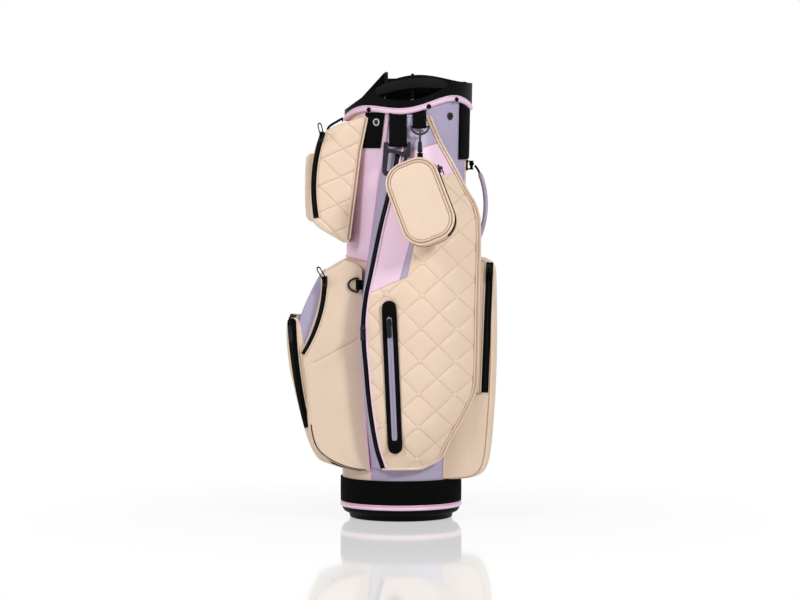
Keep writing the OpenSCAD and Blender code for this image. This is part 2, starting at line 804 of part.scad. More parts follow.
// How far the panel stands out at height z, and the slope that the frame takes from it
function welt_out(z) = -panel_point(side_t(z), welt_share)[1];
welt_pitch = atan((welt_out(welt_z + 140) - welt_out(welt_z - 140)) / 280);

module on_welt() {
    p = panel_point(side_t(welt_z), welt_share);
    d = unit(panel_point(side_t(welt_z), welt_share + 0.01) - p);
    // The frame touches the panel where it bulges most
    out = max([for (i = [-140 : 20 : 140]) welt_out(welt_z + i) - i * tan(welt_pitch)]) + gap;
    translate([p[0], -out, welt_z]) rotate([0, 0, atan2(d[1], d[0]) - 90]) rotate([0, welt_pitch, 0])
        rotate([welt_tilt, 0, 0]) children();
}

function stadium(w, length, n = 16) = rounded([[-length / 2, -w / 2, w / 2], [length / 2, -w / 2, w / 2],
    [length / 2, w / 2, w / 2], [-length / 2, w / 2, w / 2]], n);

module welt_frame() {
    slot_len = welt_len - 50;
    color(black) on_welt() rotate([0, 90, 0]) difference() {
        linear_extrude(3.2) polygon(stadium(welt_w, welt_len));
        translate([0, 0, -1]) linear_extrude(6) polygon(stadium(welt_slot, slot_len));
    }
}

module welt_zip_tape() {
    color(lilac) on_welt() rotate([0, 90, 0]) linear_extrude(tape_t)
        polygon(stadium(welt_slot - 0.6, welt_len - 51));
}

// Travel of the welt slider, and how far its rest place is above the middle
welt_rest = (welt_len - 50) / 2 - 16;

module on_welt_zip() {
    on_welt() translate([-gap, 0, welt_rest]) children();
}

module welt_zip_slider() {
    color(black) on_welt_zip() zip_slider();
}

module welt_zip_pull() {
    color(black) on_welt_zip() zip_pull(pull_len + 6, 9);
}

// Back pocket

module back_pocket() {
    x = tube_r + back_depth;
    color(beige) difference() {
        intersection() {
            side_prism(rounded([[tube_r - 60, back_bottom, 2], [x - 38, back_bottom, 6],
                [x - 12, back_bottom + 16, 14], [x - 4, back_bottom + 70, 40],
                [x + 6, back_bottom + 220, 120], [x + 2, back_top - 8, 12], [x - 20, back_top, 10],
                [tube_r - 60, back_top - 8, 2]]), back_half);
            translate([0, 0, -1]) linear_extrude(1200) polygon(rounded([[x + 8, -back_half, 12],
                [x + 8, back_half, 12], [tube_r - 38, back_half, 2], [tube_r - 38, -back_half, 2]]));
        }
        tube_core(gap);
    }
}

module back_zip_tape() {
    color(black) on_zip(back_zip, 0) zip_tape(tape_w + 2, back_zip[4]);
}

module back_zip_slider() {
    color(black) on_zip(back_zip, slider_down) zip_slider();
}

module back_zip_pull() {
    color(black) on_zip(back_zip, slider_down) zip_pull(pull_len, 7);
}

// Tabs and snaps

module snap_tab() {
    color(black) tube_plate(tube_r + gap, 2.2, 231, 247.5, collar_z - 87, collar_z - 20);
}

module snap(r, a, z) {
    leaning() rotate([0, 0, a]) translate([r, 0, z]) rotate([0, 90, 0]) {
        cylinder(h = 1.6, r = 7.5);
        translate([0, 0, 1.6]) cylinder(h = 1.2, r1 = 5.5, r2 = 4);
    }
}

module snaps() {
    color(silver) {
        snap(tube_r + 2.2 + 2 * gap, 239, collar_z - 36);
        snap(tube_r + gap, 314, collar_z - 24);
    }
}

// Webbing plate from one point of a side view to another, ending in a loop round a bar
module loop_tab(x, w, y0, z0, y1, z1, bore) {
    d = [y1 - y0, z1 - z0];
    translate([x - w / 2, 0, 0]) rotate([90, 0, 90]) difference() {
        linear_extrude(w) {
            translate([y0, z0]) rotate(atan2(d[1], d[0])) translate([0, -1.2]) square([norm(d), 2.4]);
            translate([y1, z1]) circle(bore + 1.8, $fn = 40);
        }
        translate([y1, z1, -1]) cylinder(h = w + 2, r = bore, $fn = 40);
    }
}

// Carabiner on its tab: the bar runs through the tab's loop

hook_x = -6;
hook_bar = 2.6;
hook_y = -tube_r - 23;
hook_z = collar_z - 80;
hook_tilt = 10;
hook_gate = [18, -19];
hook_pin = 1.5;

module carabiner_tab() {
    color(black) loop_tab(hook_x, 36, -tube_r - 6, collar_z - 21.6, hook_y, hook_z, hook_bar + 0.3);
}

// Frame of the carabiner's plane: x along the bar, y up, thickness along z
module on_hook() {
    translate([hook_x, hook_y, hook_z]) rotate([-hook_tilt, 0, 0]) rotate([90, 0, 0]) children();
}

module carabiner_frame() {
    color(charcoal) on_hook() difference() {
        union() {
            rotate([0, 90, 0]) cylinder(h = 44, r = hook_bar, center = true, $fn = 40);
            linear_extrude(hook_t, center = true) difference() {
                polygon(rounded([[-28, 4.5, 4], [-19, 4.5, 2], [-19, -8, 3], [10, -15, 3], [19, -8, 2],
                    [19, 4.5, 2], [25, 4.5, 4], [24, -25, 5], [12, -25, 4], [9, -22, 3], [-18, -15, 3],
                    [-22, -54, 4], [2, -55.5, 3], [9, -54, 2], [9.2, -48.5, 1], [12.5, -47.5, 1],
                    [14, -53, 4], [4, -62, 6], [-27, -62, 8], [-31, -54, 6]]));
                translate(hook_gate) circle(hook_pin + 0.02, $fn = 32);
            }
        }
        // Slot for the gate between two cheeks
        translate([hook_gate[0] - 10, hook_gate[1] - 11, -2.3]) cube([22, 14.6, 4.6]);
    }
}

module carabiner_gate() {
    x = hook_gate[0];
    y = hook_gate[1];
    color(black) on_hook() linear_extrude(4, center = true) difference() {
        polygon(rounded([[x - 3.3, y + 3.3, 3.2], [x + 3.3, y + 3.3, 3.2], [x + 3.3, y - 2, 3],
            [7.4, -51.5, 2], [2.4, -51, 2], [x - 3.3, y - 2, 3]]));
        translate(hook_gate) circle(hook_pin + 0.06, $fn = 32);
    }
}

module carabiner_pin() {
    color(silver) on_hook() translate(hook_gate) cylinder(h = hook_t, r = hook_pin, center = true, $fn = 32);
}

// D-rings. The bar of the large one runs through its tab's loop and the clip hangs from its bow.

ring_x = 37;
ring_y = -tube_r - 20;
ring_z = collar_z - 45;
ball_ring_x = front_x + 33;
ball_ring_y = -ball_half - 4.4;
ball_ring_z = ball_top - 53;

module d_ring_shape(r) {
    rotate([0, 90, 0]) cylinder(h = 2 * r + 2 * ring_wire, r = ring_wire, center = true, $fn = 32);
    rotate([90, 0, 0]) rotate_extrude(angle = -180) translate([r, 0]) circle(ring_wire, $fn = 32);
}

module on_ring() {
    translate([ring_x, ring_y, ring_z]) rotate([-hang_tilt, 0, 0]) children();
}

module d_ring() {
    color(silver) on_ring() d_ring_shape(ring_r);
}

module ring_tabs() {
    color(black) {
        loop_tab(ring_x - 1, 2 * ring_r - 8, -tube_r - 6, collar_z - 18.6, ring_y, ring_z, ring_wire + 0.3);
        translate([ball_ring_x, ball_ring_y, ball_ring_z]) difference() {
            union() {
                cylinder(h = 20, r = ring_wire + 2.2, center = true, $fn = 40);
                translate([0, 1.6, -10]) cube([8, 2.4, 20]);
            }
            cylinder(h = 30, r = ring_wire + 0.3, center = true, $fn = 40);
        }
    }
}

module ball_ring() {
    color(silver) translate([ball_ring_x, ball_ring_y, ball_ring_z]) rotate([0, 90, 0])
        d_ring_shape(ball_ring_r);
}

clip_r = 5;
clip_wire = 1.5;
// Distance from the clip's upper eye to its lower one
clip_len = 44;
pouch_pin = 2;
// How far the clip's eye hangs below the bow's wire
clip_drop = clip_r - clip_wire - ring_wire - 0.3;

module on_clip() {
    on_ring() translate([0, 0, -ring_r - clip_drop]) children();
}

module pouch_clip() {
    color(black) on_clip() difference() {
        union() {
            rotate([0, 90, 0]) rotate_extrude() translate([clip_r, 0]) circle(clip_wire, $fn = 32);
            translate([0, 0, -16]) cylinder(h = 16 - clip_r, r = 2.2, $fn = 32);
            translate([0, 0, 8 - clip_len]) cylinder(h = clip_len - 24, r1 = 5, r2 = 3.6, $fn = 40);
            translate([0, 0, 4 - clip_len]) cylinder(h = 5, r = 2.6, $fn = 32);
            translate([0, 0, -clip_len]) rotate([90, 0, 0]) cylinder(h = 5, r = 5, center = true, $fn = 40);
        }
        translate([0, 0, -clip_len]) rotate([90, 0, 0])
            cylinder(h = 9, r = pouch_pin + 0.3, center = true, $fn = 40);
    }
}

// Pouch: it leans on the garment pocket, turned and tilted as it hangs

pouch_tilt = 23;
pouch_corner = 40;
pouch_at = [40, -tube_r - 88, collar_z - 193];

module on_pouch() {
    translate(pouch_at) rotate([-12, 0, -12]) rotate([0, -pouch_tilt, 0]) children();
}

function pouch_outline(extra) = let (w = pouch_w / 2 + extra, h = pouch_h / 2 + extra)
    rounded([[-w, -h, pouch_corner], [w, -h, pouch_corner], [w, h, pouch_corner], [-w, h, pouch_corner]], 10);

module pouch() {
    color(beige) union() {
        on_pouch() rotate([90, 0, 0]) linear_extrude(pouch_d, center = true) polygon(pouch_outline(0));
        on_clip() translate([0, 0, -clip_len]) {
            rotate([90, 0, 0]) cylinder(h = 11, r = pouch_pin, center = true, $fn = 32);
            for (s = [-1, 1])
                translate([-6, s * 4.4 - 1.2, -30]) cube([12, 2.4, 30 + pouch_pin + 1.6]);
        }
    }
}

module pouch_zip_tape() {
    color(black) on_pouch() rotate([90, 0, 0]) linear_extrude(8, center = true) difference() {
        polygon(pouch_outline(gap + tape_t));
        polygon(pouch_outline(gap));
        translate([-pouch_w, -pouch_h]) square([pouch_w + 24, 2 * pouch_h]);
    }
}

// The slider at the upper end of the pouch's zip carries a fixed cord tail
module pouch_zip_slider() {
    color(black) on_pouch() translate([pouch_w / 2, 0, pouch_h / 2 - 34]) {
        zip_slider();
        translate([pin_x, 0, -14]) cylinder(h = 14, r = 1.1, $fn = 24);
    }
}

// Back of the tube: glove patch and lift handle

module glove_patch() {
    color(black) tube_plate(tube_r + gap, 4.5, -32, 32, collar_z - 105, collar_z - 17);
}

anchor_t = 3;
handle_pin = 3;
handle_r0 = tube_r + gap + anchor_t + 7;
handle_top = collar_z - 118;
handle_low = collar_z - 287;
eye_h = 11;

module rear_anchor(z) {
    tube_plate(tube_r + gap, anchor_t, -8, 8, z - 11, z + 11);
    leaning() {
        for (s = [-1, 1]) translate([tube_r + 2, -6, z + s * (eye_h / 2 + 2.1) - 1.5])
            cube([handle_r0 - tube_r + 2, 12, 3]);
        translate([handle_r0, 0, z]) cylinder(h = eye_h + 5, r = handle_pin, center = true, $fn = 32);
    }
}

module rear_anchors() {
    color(black) {
        rear_anchor(handle_top);
        rear_anchor(handle_low);
    }
}

// Path of the handle from the upper to the lower eye, u from 0 to 1, as [radius, height]
function handle_path(u) = [handle_r0 + handle_out * sin(180 * u) ^ 0.55,
    handle_top + (handle_low - handle_top) * u];

module rear_handle() {
    w = 13;
    color(lilac) leaning() difference() {
        union() {
            skin([for (i = [0 : 20]) let (
                u = 0.012 + 0.976 * i / 20,
                c = handle_path(u),
                d = unit(handle_path(u + 0.01) - handle_path(u - 0.01)),
                n = [-d[1], d[0]],
                t = 2 + 2.4 * sin(180 * u),
                h = (i == 0 || i == 20) ? eye_h / 2 - 0.5 : w
            ) [for (q = [[-1, -0.7], [-0.5, -1], [0.5, -1], [1, -0.7], [1, 0.7], [0.5, 1], [-0.5, 1], [-1, 0.7]])
                [c[0] + n[0] * t * q[0], q[1] * h, c[1] + n[1] * t * q[0]]]]);
            for (z = [handle_top, handle_low])
                translate([handle_r0, 0, z]) cylinder(h = eye_h, r = 6, center = true, $fn = 40);
        }
        for (z = [handle_top, handle_low])
            translate([handle_r0, 0, z]) cylinder(h = 60, r = handle_pin + 0.15, center = true, $fn = 40);
    }
}

// Elastic cord from the front stud to the top of the upper pocket
module front_cord() {
    z0 = wave_z(0) - trim_h + 4;
    a = [axis_x(z0) - trim_r - 5, z0];
    b = [front_x - 25, upper_top + 9.4];
    d = a - b;
    color(black) translate([b[0], 0, b[1]]) rotate([0, 90 - atan2(d[1], d[0]), 0])
        cylinder(h = norm(d), r = 2, $fn = 24);
}

base_foot();
base_piping();
base_band();
base_board();
wall_stays();
front_wall_upper();
front_wall_lower();
right_wall();
left_wall();
back_wall();
divider_sheets();
divider_rails();
collar();
collar_trim();
collar_studs();
hand_grips();
upper_pocket();
upper_outer_pocket();
upper_zip_slider();
upper_zip_pull();
ball_pocket();
ball_gusset();
ball_outer_pocket();
ball_zip_slider();
ball_zip_pull();
outer_zip_slider();
outer_zip_pull();
front_zip_tapes();
right_pocket();
left_pocket();
side_zip_tapes();
right_zip_slider();
right_zip_pull();
left_zip_slider();
left_zip_pull();
welt_frame();
welt_zip_tape();
welt_zip_slider();
welt_zip_pull();
back_pocket();
back_zip_tape();
back_zip_slider();
back_zip_pull();
snap_tab();
snaps();
carabiner_tab();
carabiner_frame();
carabiner_gate();
carabiner_pin();
ring_tabs();
d_ring();
pouch_clip();
pouch();
pouch_zip_tape();
pouch_zip_slider();
ball_ring();
glove_patch();
rear_anchors();
rear_handle();
front_cord();
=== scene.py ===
# %% [markdown]
# # A golf cart bag, sewn piece by piece
# A cart bag is a leaning tube of coated leather that stands on a moulded foot and ends in a moulded
# collar with club wells. Pockets are sewn round it: a padded garment pocket on each side, three
# pockets one above the other at the front, one at the back, and a small pouch that hangs from a ring.
# The hard pieces come from the CAD frame. The sewn ones are built here as surfaces from formulas.
# All sizes below are millimetres, in the frame of the CAD model, and turn into metres in the mesh.

import bmesh
import bpy
import numpy as np
from mathutils import Matrix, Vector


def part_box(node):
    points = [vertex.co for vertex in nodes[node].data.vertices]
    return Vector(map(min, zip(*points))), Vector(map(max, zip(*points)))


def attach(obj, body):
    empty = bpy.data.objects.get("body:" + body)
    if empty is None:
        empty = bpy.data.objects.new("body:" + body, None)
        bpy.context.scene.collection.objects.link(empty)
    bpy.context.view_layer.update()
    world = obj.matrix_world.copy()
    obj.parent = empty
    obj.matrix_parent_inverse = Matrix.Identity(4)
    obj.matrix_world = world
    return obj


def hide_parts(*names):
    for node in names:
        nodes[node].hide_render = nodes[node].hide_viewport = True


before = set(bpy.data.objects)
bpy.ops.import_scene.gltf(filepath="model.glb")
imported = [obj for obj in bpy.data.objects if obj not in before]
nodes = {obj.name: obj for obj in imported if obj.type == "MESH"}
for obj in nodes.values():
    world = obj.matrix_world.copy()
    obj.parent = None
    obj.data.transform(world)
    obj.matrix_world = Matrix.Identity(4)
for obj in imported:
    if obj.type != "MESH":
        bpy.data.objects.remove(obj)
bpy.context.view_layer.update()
scene = bpy.context.scene
MM = 0.001

# %% [markdown]
# ## Surfaces from arrays
# Each sewn piece is a grid of points: rows along it, columns round it. One function turns such a grid
# into a mesh with a UV map in metres, so that weave and stitches keep their size on every piece. A
# second function carries a profile along a path, which makes straps, tapes, piping and cords.

# %% Grid to mesh
def link(name, mesh, angle=50):
    """A mesh as an object of the scene, smooth but for edges sharper than the angle in degrees."""
    mesh.polygons.foreach_set("use_smooth", np.ones(len(mesh.polygons), dtype=bool))
    mesh.set_sharp_from_angle(angle=np.radians(angle))
    piece = bpy.data.objects.new(name, mesh)
    scene.collection.objects.link(piece)
    return piece


def surface(name, points, around=False, along=False, caps=False, angle=50, zones=None):
    """Quads over a grid of points [row, column]. around joins the last column to the first, along the
    last row to the first, and caps closes the two end rows. UV is the length run along columns and
    rows. Faces look away from the middle of the points. zones gives a material number per column."""
    p = np.asarray(points, float)
    rows, cols = p.shape[:2]
    index = np.arange(rows * cols).reshape(rows, cols)
    index = np.pad(index, ((0, int(along)), (0, int(around))), mode="wrap")
    flat = p.reshape(-1, 3)
    q = flat[index]
    u = np.pad(np.cumsum(np.linalg.norm(np.diff(q, axis=1), axis=2), axis=1), ((0, 0), (1, 0)))
    v = np.pad(np.cumsum(np.linalg.norm(np.diff(q, axis=0), axis=2), axis=0), ((1, 0), (0, 0)))
    uv = np.stack([u, v], -1) * MM

    def corners(a):
        """The four corners of each cell of a grid."""
        return np.stack([a[:-1, :-1], a[:-1, 1:], a[1:, 1:], a[1:, :-1]], 2)

    quads = corners(index).reshape(-1, 4)
    uvs = corners(uv).reshape(-1, 4, 2)
    a = flat[quads] - flat.mean(axis=0)
    volume = np.einsum("ij,ij->", a[:, 0], np.cross(a[:, 1], a[:, 2]) + np.cross(a[:, 2], a[:, 3]))
    ends = [index[0, :cols][::-1], index[-1, :cols]] if caps else []
    if volume < 0:
        quads, uvs, ends = quads[:, ::-1], uvs[:, ::-1], [e[::-1] for e in ends]
    mesh = bpy.data.meshes.new(name)
    mesh.from_pydata((flat * MM).tolist(), [], quads.tolist() + [e.tolist() for e in ends])
    loops = np.zeros((len(mesh.loops), 2))
    loops[: quads.size] = uvs.reshape(-1, 2)
    mesh.uv_layers.new(name="UVMap").uv.foreach_set("vector", loops.ravel())
    if zones is not None:
        number = np.zeros(len(mesh.polygons), dtype=np.int32)
        number[: len(quads)] = np.broadcast_to(np.asarray(zones), index[:-1, :-1].shape).ravel()
        mesh.polygons.foreach_set("material_index", number)
    return link(name, mesh, angle)


print("grid helpers ready")

# %% Profiles along a path
def unit(v):
    """Vectors divided by their lengths."""
    return v / np.maximum(np.linalg.norm(v, axis=-1, keepdims=True), 1e-9)


def heading(path):
    """Direction of an open polyline at each of its points."""
    return unit(np.gradient(path, axis=0))


def fan(first, last, count, endpoint=True):
    """Angles in radians at even steps between two angles in degrees."""
    return np.radians(np.linspace(first, last, count, endpoint=endpoint))


def sweep(name, path, profile, out, closed=False, wide=1.0):
    """A profile of [across, out] points carried along a path: out is made square to the path, across
    is square to both, and each row of points is path + wide times the across part + out part."""
    path = np.asarray(path, float)
    t = unit(np.roll(path, -1, 0) - np.roll(path, 1, 0)) if closed else heading(path)
    n = np.broadcast_to(np.asarray(out, float), path.shape)
    n = unit(n - (n * t).sum(-1, keepdims=True) * t)
    a = np.cross(t, n) * np.broadcast_to(wide, len(path))[:, None]
    rows = path[:, None] + profile[None, :, :1] * a[:, None] + profile[None, :, 1:] * n[:, None]
    return surface(name, rows, around=True, along=closed, caps=not closed)


def disc(r, n=10):
    """Points of a circle."""
    a = np.linspace(0, 2 * np.pi, n, endpoint=False)
    return r * np.stack([np.cos(a), np.sin(a)], -1)


def slab(width, low, high, r):
    """A flat strap in section, from low to high, with corners rounded by r."""
    turn = fan(0, 90, 3)[None] + np.radians([0, 90, 180, 270])[:, None]
    w = width / 2 - r
    middle = np.array([[w, high - r], [-w, high - r], [-w, low + r], [w, low + r]])
    ring = middle[:, None] + r * np.stack([np.cos(turn), np.sin(turn)], -1)
    top = np.linspace(w, -w, 9)[1:-1]
    top = np.stack([top, np.full_like(top, high)], -1)
    return np.vstack([ring[0], top, ring[1], ring[2], ring[3]])


print("profile helpers ready")

# %% Lines and curves
def run_along(path):
    """Length run along a polyline up to each of its points."""
    return np.r_[0, np.cumsum(np.linalg.norm(np.diff(path, axis=0), axis=1))]


def places(path, at):
    """Points of a polyline at these lengths along it."""
    s = run_along(path)
    return np.stack([np.interp(at, s, c) for c in path.T], -1)


def resample(path, count):
    """A polyline as that many points at even distances along it."""
    path = np.asarray(path, float)
    return places(path, np.linspace(0, run_along(path)[-1], count))


def soften(points, times=3):
    """Corner cutting: each corner of a polyline gives way to points a quarter from it, some times over."""
    p = np.asarray(points, float)
    for _ in range(times):
        q = np.stack([0.75 * p[:-1] + 0.25 * p[1:], 0.25 * p[:-1] + 0.75 * p[1:]], 1)
        p = np.vstack([p[:1], q.reshape(-1, p.shape[1]), p[-1:]])
    return p


def curve(knots, t):
    """A smooth value through [t, value] knots: cubic pieces whose slope at a knot is that of the line
    between its two neighbours."""
    x, v = np.asarray(knots, float).T
    t = np.clip(np.asarray(t, float), x[0], x[-1])
    m = (np.r_[v[1:], v[-1]] - np.r_[v[0], v[:-1]]) / (np.r_[x[1:], x[-1]] - np.r_[x[0], x[:-1]])
    i = np.clip(np.searchsorted(x, t, side="right") - 1, 0, len(x) - 2)
    h = x[i + 1] - x[i]
    u = (t - x[i]) / h
    return (v[i] * (2 * u**3 - 3 * u**2 + 1) + h * m[i] * (u**3 - 2 * u**2 + u)
            + v[i + 1] * (3 * u**2 - 2 * u**3) + h * m[i + 1] * (u**3 - u**2))


print("line helpers ready")

# %% [markdown]
# ## Stitches and zip teeth
# A seam shows as a row of short thread capsules, a zip as two rows of small teeth that interlock. Both
# are one small form repeated along a path, each copy turned to the path and to the face below it.

# %% Repeated forms
def scatter(name, form, faces, at, along, out):
    """Copies of one small form: each vertex is a place plus the form's x along the path, its y across
    and its z out of the face."""
    t = unit(along)
    n = unit(out - (out * t).sum(-1, keepdims=True) * t)
    axes = np.stack([t, np.cross(n, t), n], 1)
    v = at[:, None] + np.einsum("vi,kij->kvj", form, axes)
    start = np.arange(len(at))[:, None, None] * len(form)
    listed = sum(((f[None] + start).reshape(-1, f.shape[1]).tolist() for f in faces), [])
    mesh = bpy.data.meshes.new(name)
    mesh.from_pydata((v.reshape(-1, 3) * MM).tolist(), [], listed)
    return link(name, mesh)


def along_path(path, pitch):
    """Places at even pitch along a path, the direction of the path there, and their share of it."""
    path = np.asarray(path, float)
    whole = run_along(path)[-1]
    q = np.arange(pitch / 2, whole, pitch)
    return places(path, q), places(path, q + 0.6) - places(path, q - 0.6), q / whole


def tube_form(rings):
    """A small closed form from rings of points [ring, place]: its vertices, its sides and its two ends."""
    rows, cols = rings.shape[:2]
    i = np.arange(rows * cols).reshape(rows, cols)
    j = np.roll(i, -1, 1)
    sides = np.stack([i[:-1], j[:-1], j[1:], i[1:]], -1).reshape(-1, 4)
    return rings.reshape(-1, 3), [sides, np.stack([i[0][::-1], i[-1]])]


def out_at(out, at, share):
    """The outward direction at each place: one for all, or the nearest in a list along the path."""
    n = np.asarray(out, float)
    return np.broadcast_to(n, at.shape) if n.ndim == 1 else n[np.round(share * (len(n) - 1)).astype(int)]


print("repeat helpers ready")

# %% Stitches and teeth
def stitches(name, path, out, pitch=3.4, length=2.3, r=0.38):
    """A row of thread capsules: six sided, thinner at both ends."""
    a = np.linspace(0, 2 * np.pi, 6, endpoint=False)
    ring = np.stack([0 * a, np.cos(a), np.sin(a)], -1)
    rows = ((-length / 2, 0.5), (-length / 3, 1), (length / 3, 1), (length / 2, 0.5))
    form, faces = tube_form(np.stack([ring * (thin * r) + [x, 0, 0] for x, thin in rows]))
    at, along, share = along_path(path, pitch)
    return scatter(name, form, faces, at, along, out_at(out, at, share))


def teeth(name, path, out, pitch=2.6, width=1.9):
    """Two rows of zip teeth: small blocks, every second one on the other side of the middle line."""
    box = np.array([[x, y, z] for z in (0, 1) for y in (-1, 1) for x in (-1, 1)], float)
    form = box * [pitch * 0.34, width * 0.62, 0.9] * np.where(box[:, 2:] > 0, [[0.7, 0.8, 1]], 1)
    faces = np.array([[0, 2, 3, 1], [4, 5, 7, 6], [0, 1, 5, 4], [2, 6, 7, 3], [0, 4, 6, 2], [1, 3, 7, 5]])
    at, along, share = along_path(path, pitch)
    n = out_at(out, at, share)
    side = np.cross(unit(n), unit(along))
    at = at + side * (np.where(np.arange(len(at)) % 2, 1, -1) * width * 0.42)[:, None]
    return scatter(name, form, [faces], at, along, n)


print("stitch and tooth helpers ready")

# %% [markdown]
# ## Finishes
# Coated leather has a fine pebble grain, webbing and tape a weave, moulded pieces a faint texture. Each
# of these is a node group that gives a height and a shade; the materials mix them with their colour.

# %% Node helpers
def rgb(r, g, b):
    """A screen colour from 0 to 255 as linear light."""
    c = np.array([r, g, b]) / 255
    return tuple(np.where(c <= 0.04045, c / 12.92, ((c + 0.055) / 1.055) ** 2.4).tolist()) + (1.0,)


def node(tree, kind, links=(), **settings):
    """Adds a node: links gives its inputs, each a socket or a plain value, settings its properties."""
    n = tree.nodes.new(kind)
    for key, value in settings.items():
        setattr(n, key, value)
    for key, value in dict(links).items():
        if isinstance(value, bpy.types.NodeSocket):
            tree.links.new(value, n.inputs[key])
        else:
            n.inputs[key].default_value = value
    return n


class Term:
    """A socket or number in shader arithmetic: + - * and abs as usual, > gives 1 where it holds, and | is
    the larger of two. Each operation adds one math node to the tree."""

    def __init__(self, tree, value):
        self.tree, self.value = tree, value

    def math(self, operation, other=0.0):
        """One math node on this term and another."""
        values = [t.value if isinstance(t, Term) else t for t in (self, other)]
        maths = node(self.tree, "ShaderNodeMath", {0: values[0], 1: values[1]}, operation=operation)
        return Term(self.tree, maths.outputs[0])

    def __add__(self, other):
        return self.math("ADD", other)

    def __sub__(self, other):
        return self.math("SUBTRACT", other)

    def __mul__(self, other):
        return self.math("MULTIPLY", other)

    def __gt__(self, other):
        return self.math("GREATER_THAN", other)

    def __or__(self, other):
        return self.math("MAXIMUM", other)

    def __abs__(self):
        return self.math("ABSOLUTE")

    def fade(self, near, far, first=1.0, last=0.0):
        """first up to the value near, last from far on, a straight line between."""
        limits = {"From Min": near, "From Max": far, "To Min": first, "To Max": last}
        ramp = node(self.tree, "ShaderNodeMapRange", {"Value": self.value, **limits})
        return Term(self.tree, ramp.outputs[0])


def split_terms(tree, vector, axes):
    """Some axes of a vector socket as terms."""
    split = node(tree, "ShaderNodeSeparateXYZ", {0: vector})
    return [Term(tree, split.outputs[i]) for i in axes]


print("node helpers ready")

# %% Node groups
def group(name, inputs, outputs):
    """An empty node group with float inputs and float outputs, and its two end nodes."""
    tree = bpy.data.node_groups.new(name, "ShaderNodeTree")
    for key, value in inputs.items():
        tree.interface.new_socket(name=key, in_out="INPUT", socket_type="NodeSocketFloat").default_value = value
    for key in outputs:
        tree.interface.new_socket(name=key, in_out="OUTPUT", socket_type="NodeSocketFloat")
    return tree, tree.nodes.new("NodeGroupInput"), tree.nodes.new("NodeGroupOutput")


def give(tree, result, height, shade):
    """Links a group's height and shade to its outputs."""
    for key, term in (("Height", height), ("Shade", shade)):
        tree.links.new(term.value, result.inputs[key])


def uv_socket(tree):
    """The piece's own UV map."""
    return node(tree, "ShaderNodeUVMap", uv_map="UVMap").outputs[0]


grain, into, result = group("leather_grain", {"Cells": 900.0}, ["Height", "Shade"])
place = node(grain, "ShaderNodeTexCoord").outputs["Object"]
cells = node(grain, "ShaderNodeTexVoronoi", {"Vector": place, "Scale": into.outputs["Cells"]}, feature="SMOOTH_F1")
cloud = node(grain, "ShaderNodeTexNoise", {"Vector": place, "Scale": 14.0, "Detail": 3.0})
fine = node(grain, "ShaderNodeTexNoise", {"Vector": place, "Scale": 420.0, "Detail": 2.0})
height = Term(grain, fine.outputs[0]) * 0.6 - cells.outputs["Distance"]
give(grain, result, height, Term(grain, cloud.outputs[0]))

weave, into, result = group("weave", {"Threads": 900.0}, ["Height", "Shade"])
turns = Term(weave, into.outputs["Threads"]) * 3.14159
over, under = ((c * turns).math("SINE") for c in split_terms(weave, uv_socket(weave), (0, 1)))
upper = over * under > 0.0
height = abs(over) * upper | abs(under) * (Term(weave, 1.0) - upper)
give(weave, result, height, height)

twill, into, result = group("twill", {"Ribs": 500.0}, ["Height", "Shade"])
u, v = split_terms(twill, uv_socket(twill), (0, 1))
wave = ((u + v) * (Term(twill, into.outputs["Ribs"]) * 6.28318)).math("SINE")
height = wave * 0.5 + 0.5
give(twill, result, height, height)
print("node groups:", [g.name for g in bpy.data.node_groups])

# %% [markdown]
# ## Materials
# Each material is a Principled surface. Its colour is shaded a little by the group's shade, its relief
# is the group's height through a bump. The garment panels also need several colours in one piece, so
# their material splits the panel along the lines of its sewn zones.

# %% Material helpers
def base_material(name, rough, metallic=0.0, specular=0.5):
    """A material with an empty Principled surface, and the two nodes to link to."""
    m = bpy.data.materials.new(name)
    m.use_nodes = True
    tree = m.node_tree
    shader = tree.nodes["Principled BSDF"]
    shader.inputs["Roughness"].default_value = rough
    shader.inputs["Metallic"].default_value = metallic
    shader.inputs["Specular IOR Level"].default_value = specular
    return m, tree, shader


def tinted(tree, colour, dark, factor):
    """The colour, darkened towards dark times itself as the factor falls from 1 to 0."""
    low = tuple(c * dark for c in colour[:3]) + (1.0,)
    return node(tree, "ShaderNodeMix", {"Factor": factor, 6: low, 7: colour}, data_type="RGBA").outputs[2]


def textured(name, colour, rough, pattern, size, depth, dark=0.9, metallic=0.0, specular=0.5):
    """A material whose relief and shade come from one node group; depth is the relief in mm."""
    m, tree, shader = base_material(name, rough, metallic, specular)
    g = node(tree, "ShaderNodeGroup", node_tree=pattern)
    g.inputs[0].default_value = size
    tree.links.new(tinted(tree, colour, dark, g.outputs["Shade"]), shader.inputs["Base Color"])
    bump = node(tree, "ShaderNodeBump", {"Height": g.outputs["Height"], "Strength": 1.0, "Distance": depth * MM})
    tree.links.new(bump.outputs[0], shader.inputs["Normal"])
    return m


print("material helpers ready")

# %% Plain materials
BEIGE, PINK, LILAC = rgb(231, 206, 183), rgb(238, 205, 228), rgb(175, 164, 192)
BLACK, SMOKE = rgb(11, 11, 12), rgb(50, 50, 54)
beige = textured("beige_leather", BEIGE, 0.42, grain, 850, 0.05, 0.88)
pink = textured("pink_leather", PINK, 0.36, grain, 850, 0.05, 0.9)
rose = textured("rose_binding", rgb(229, 176, 210), 0.3, grain, 850, 0.04, 0.86)
# Painted highlight: a lighter, glossier copy of the rose binding, for piping rolls whose tops catch a bright highlight
pale = textured("highlit_pink_binding", rgb(241, 208, 231), 0.2, grain, 850, 0.02, 0.9)
bound = textured("beige_binding", rgb(232, 208, 186), 0.28, grain, 850, 0.03, 0.86)
# Painted shade: a dark brown for thin cords laid in the grooves beside pipings and seams, where only shade falls
tuck = textured("painted_seam_shade", rgb(184, 148, 120), 0.6, grain, 850, 0.03, 0.8)
lilac = textured("lilac_fabric", LILAC, 0.55, grain, 1300, 0.05, 0.88)
webbing = textured("black_webbing", BLACK, 0.8, twill, 560, 0.12, 0.5, specular=0.05)
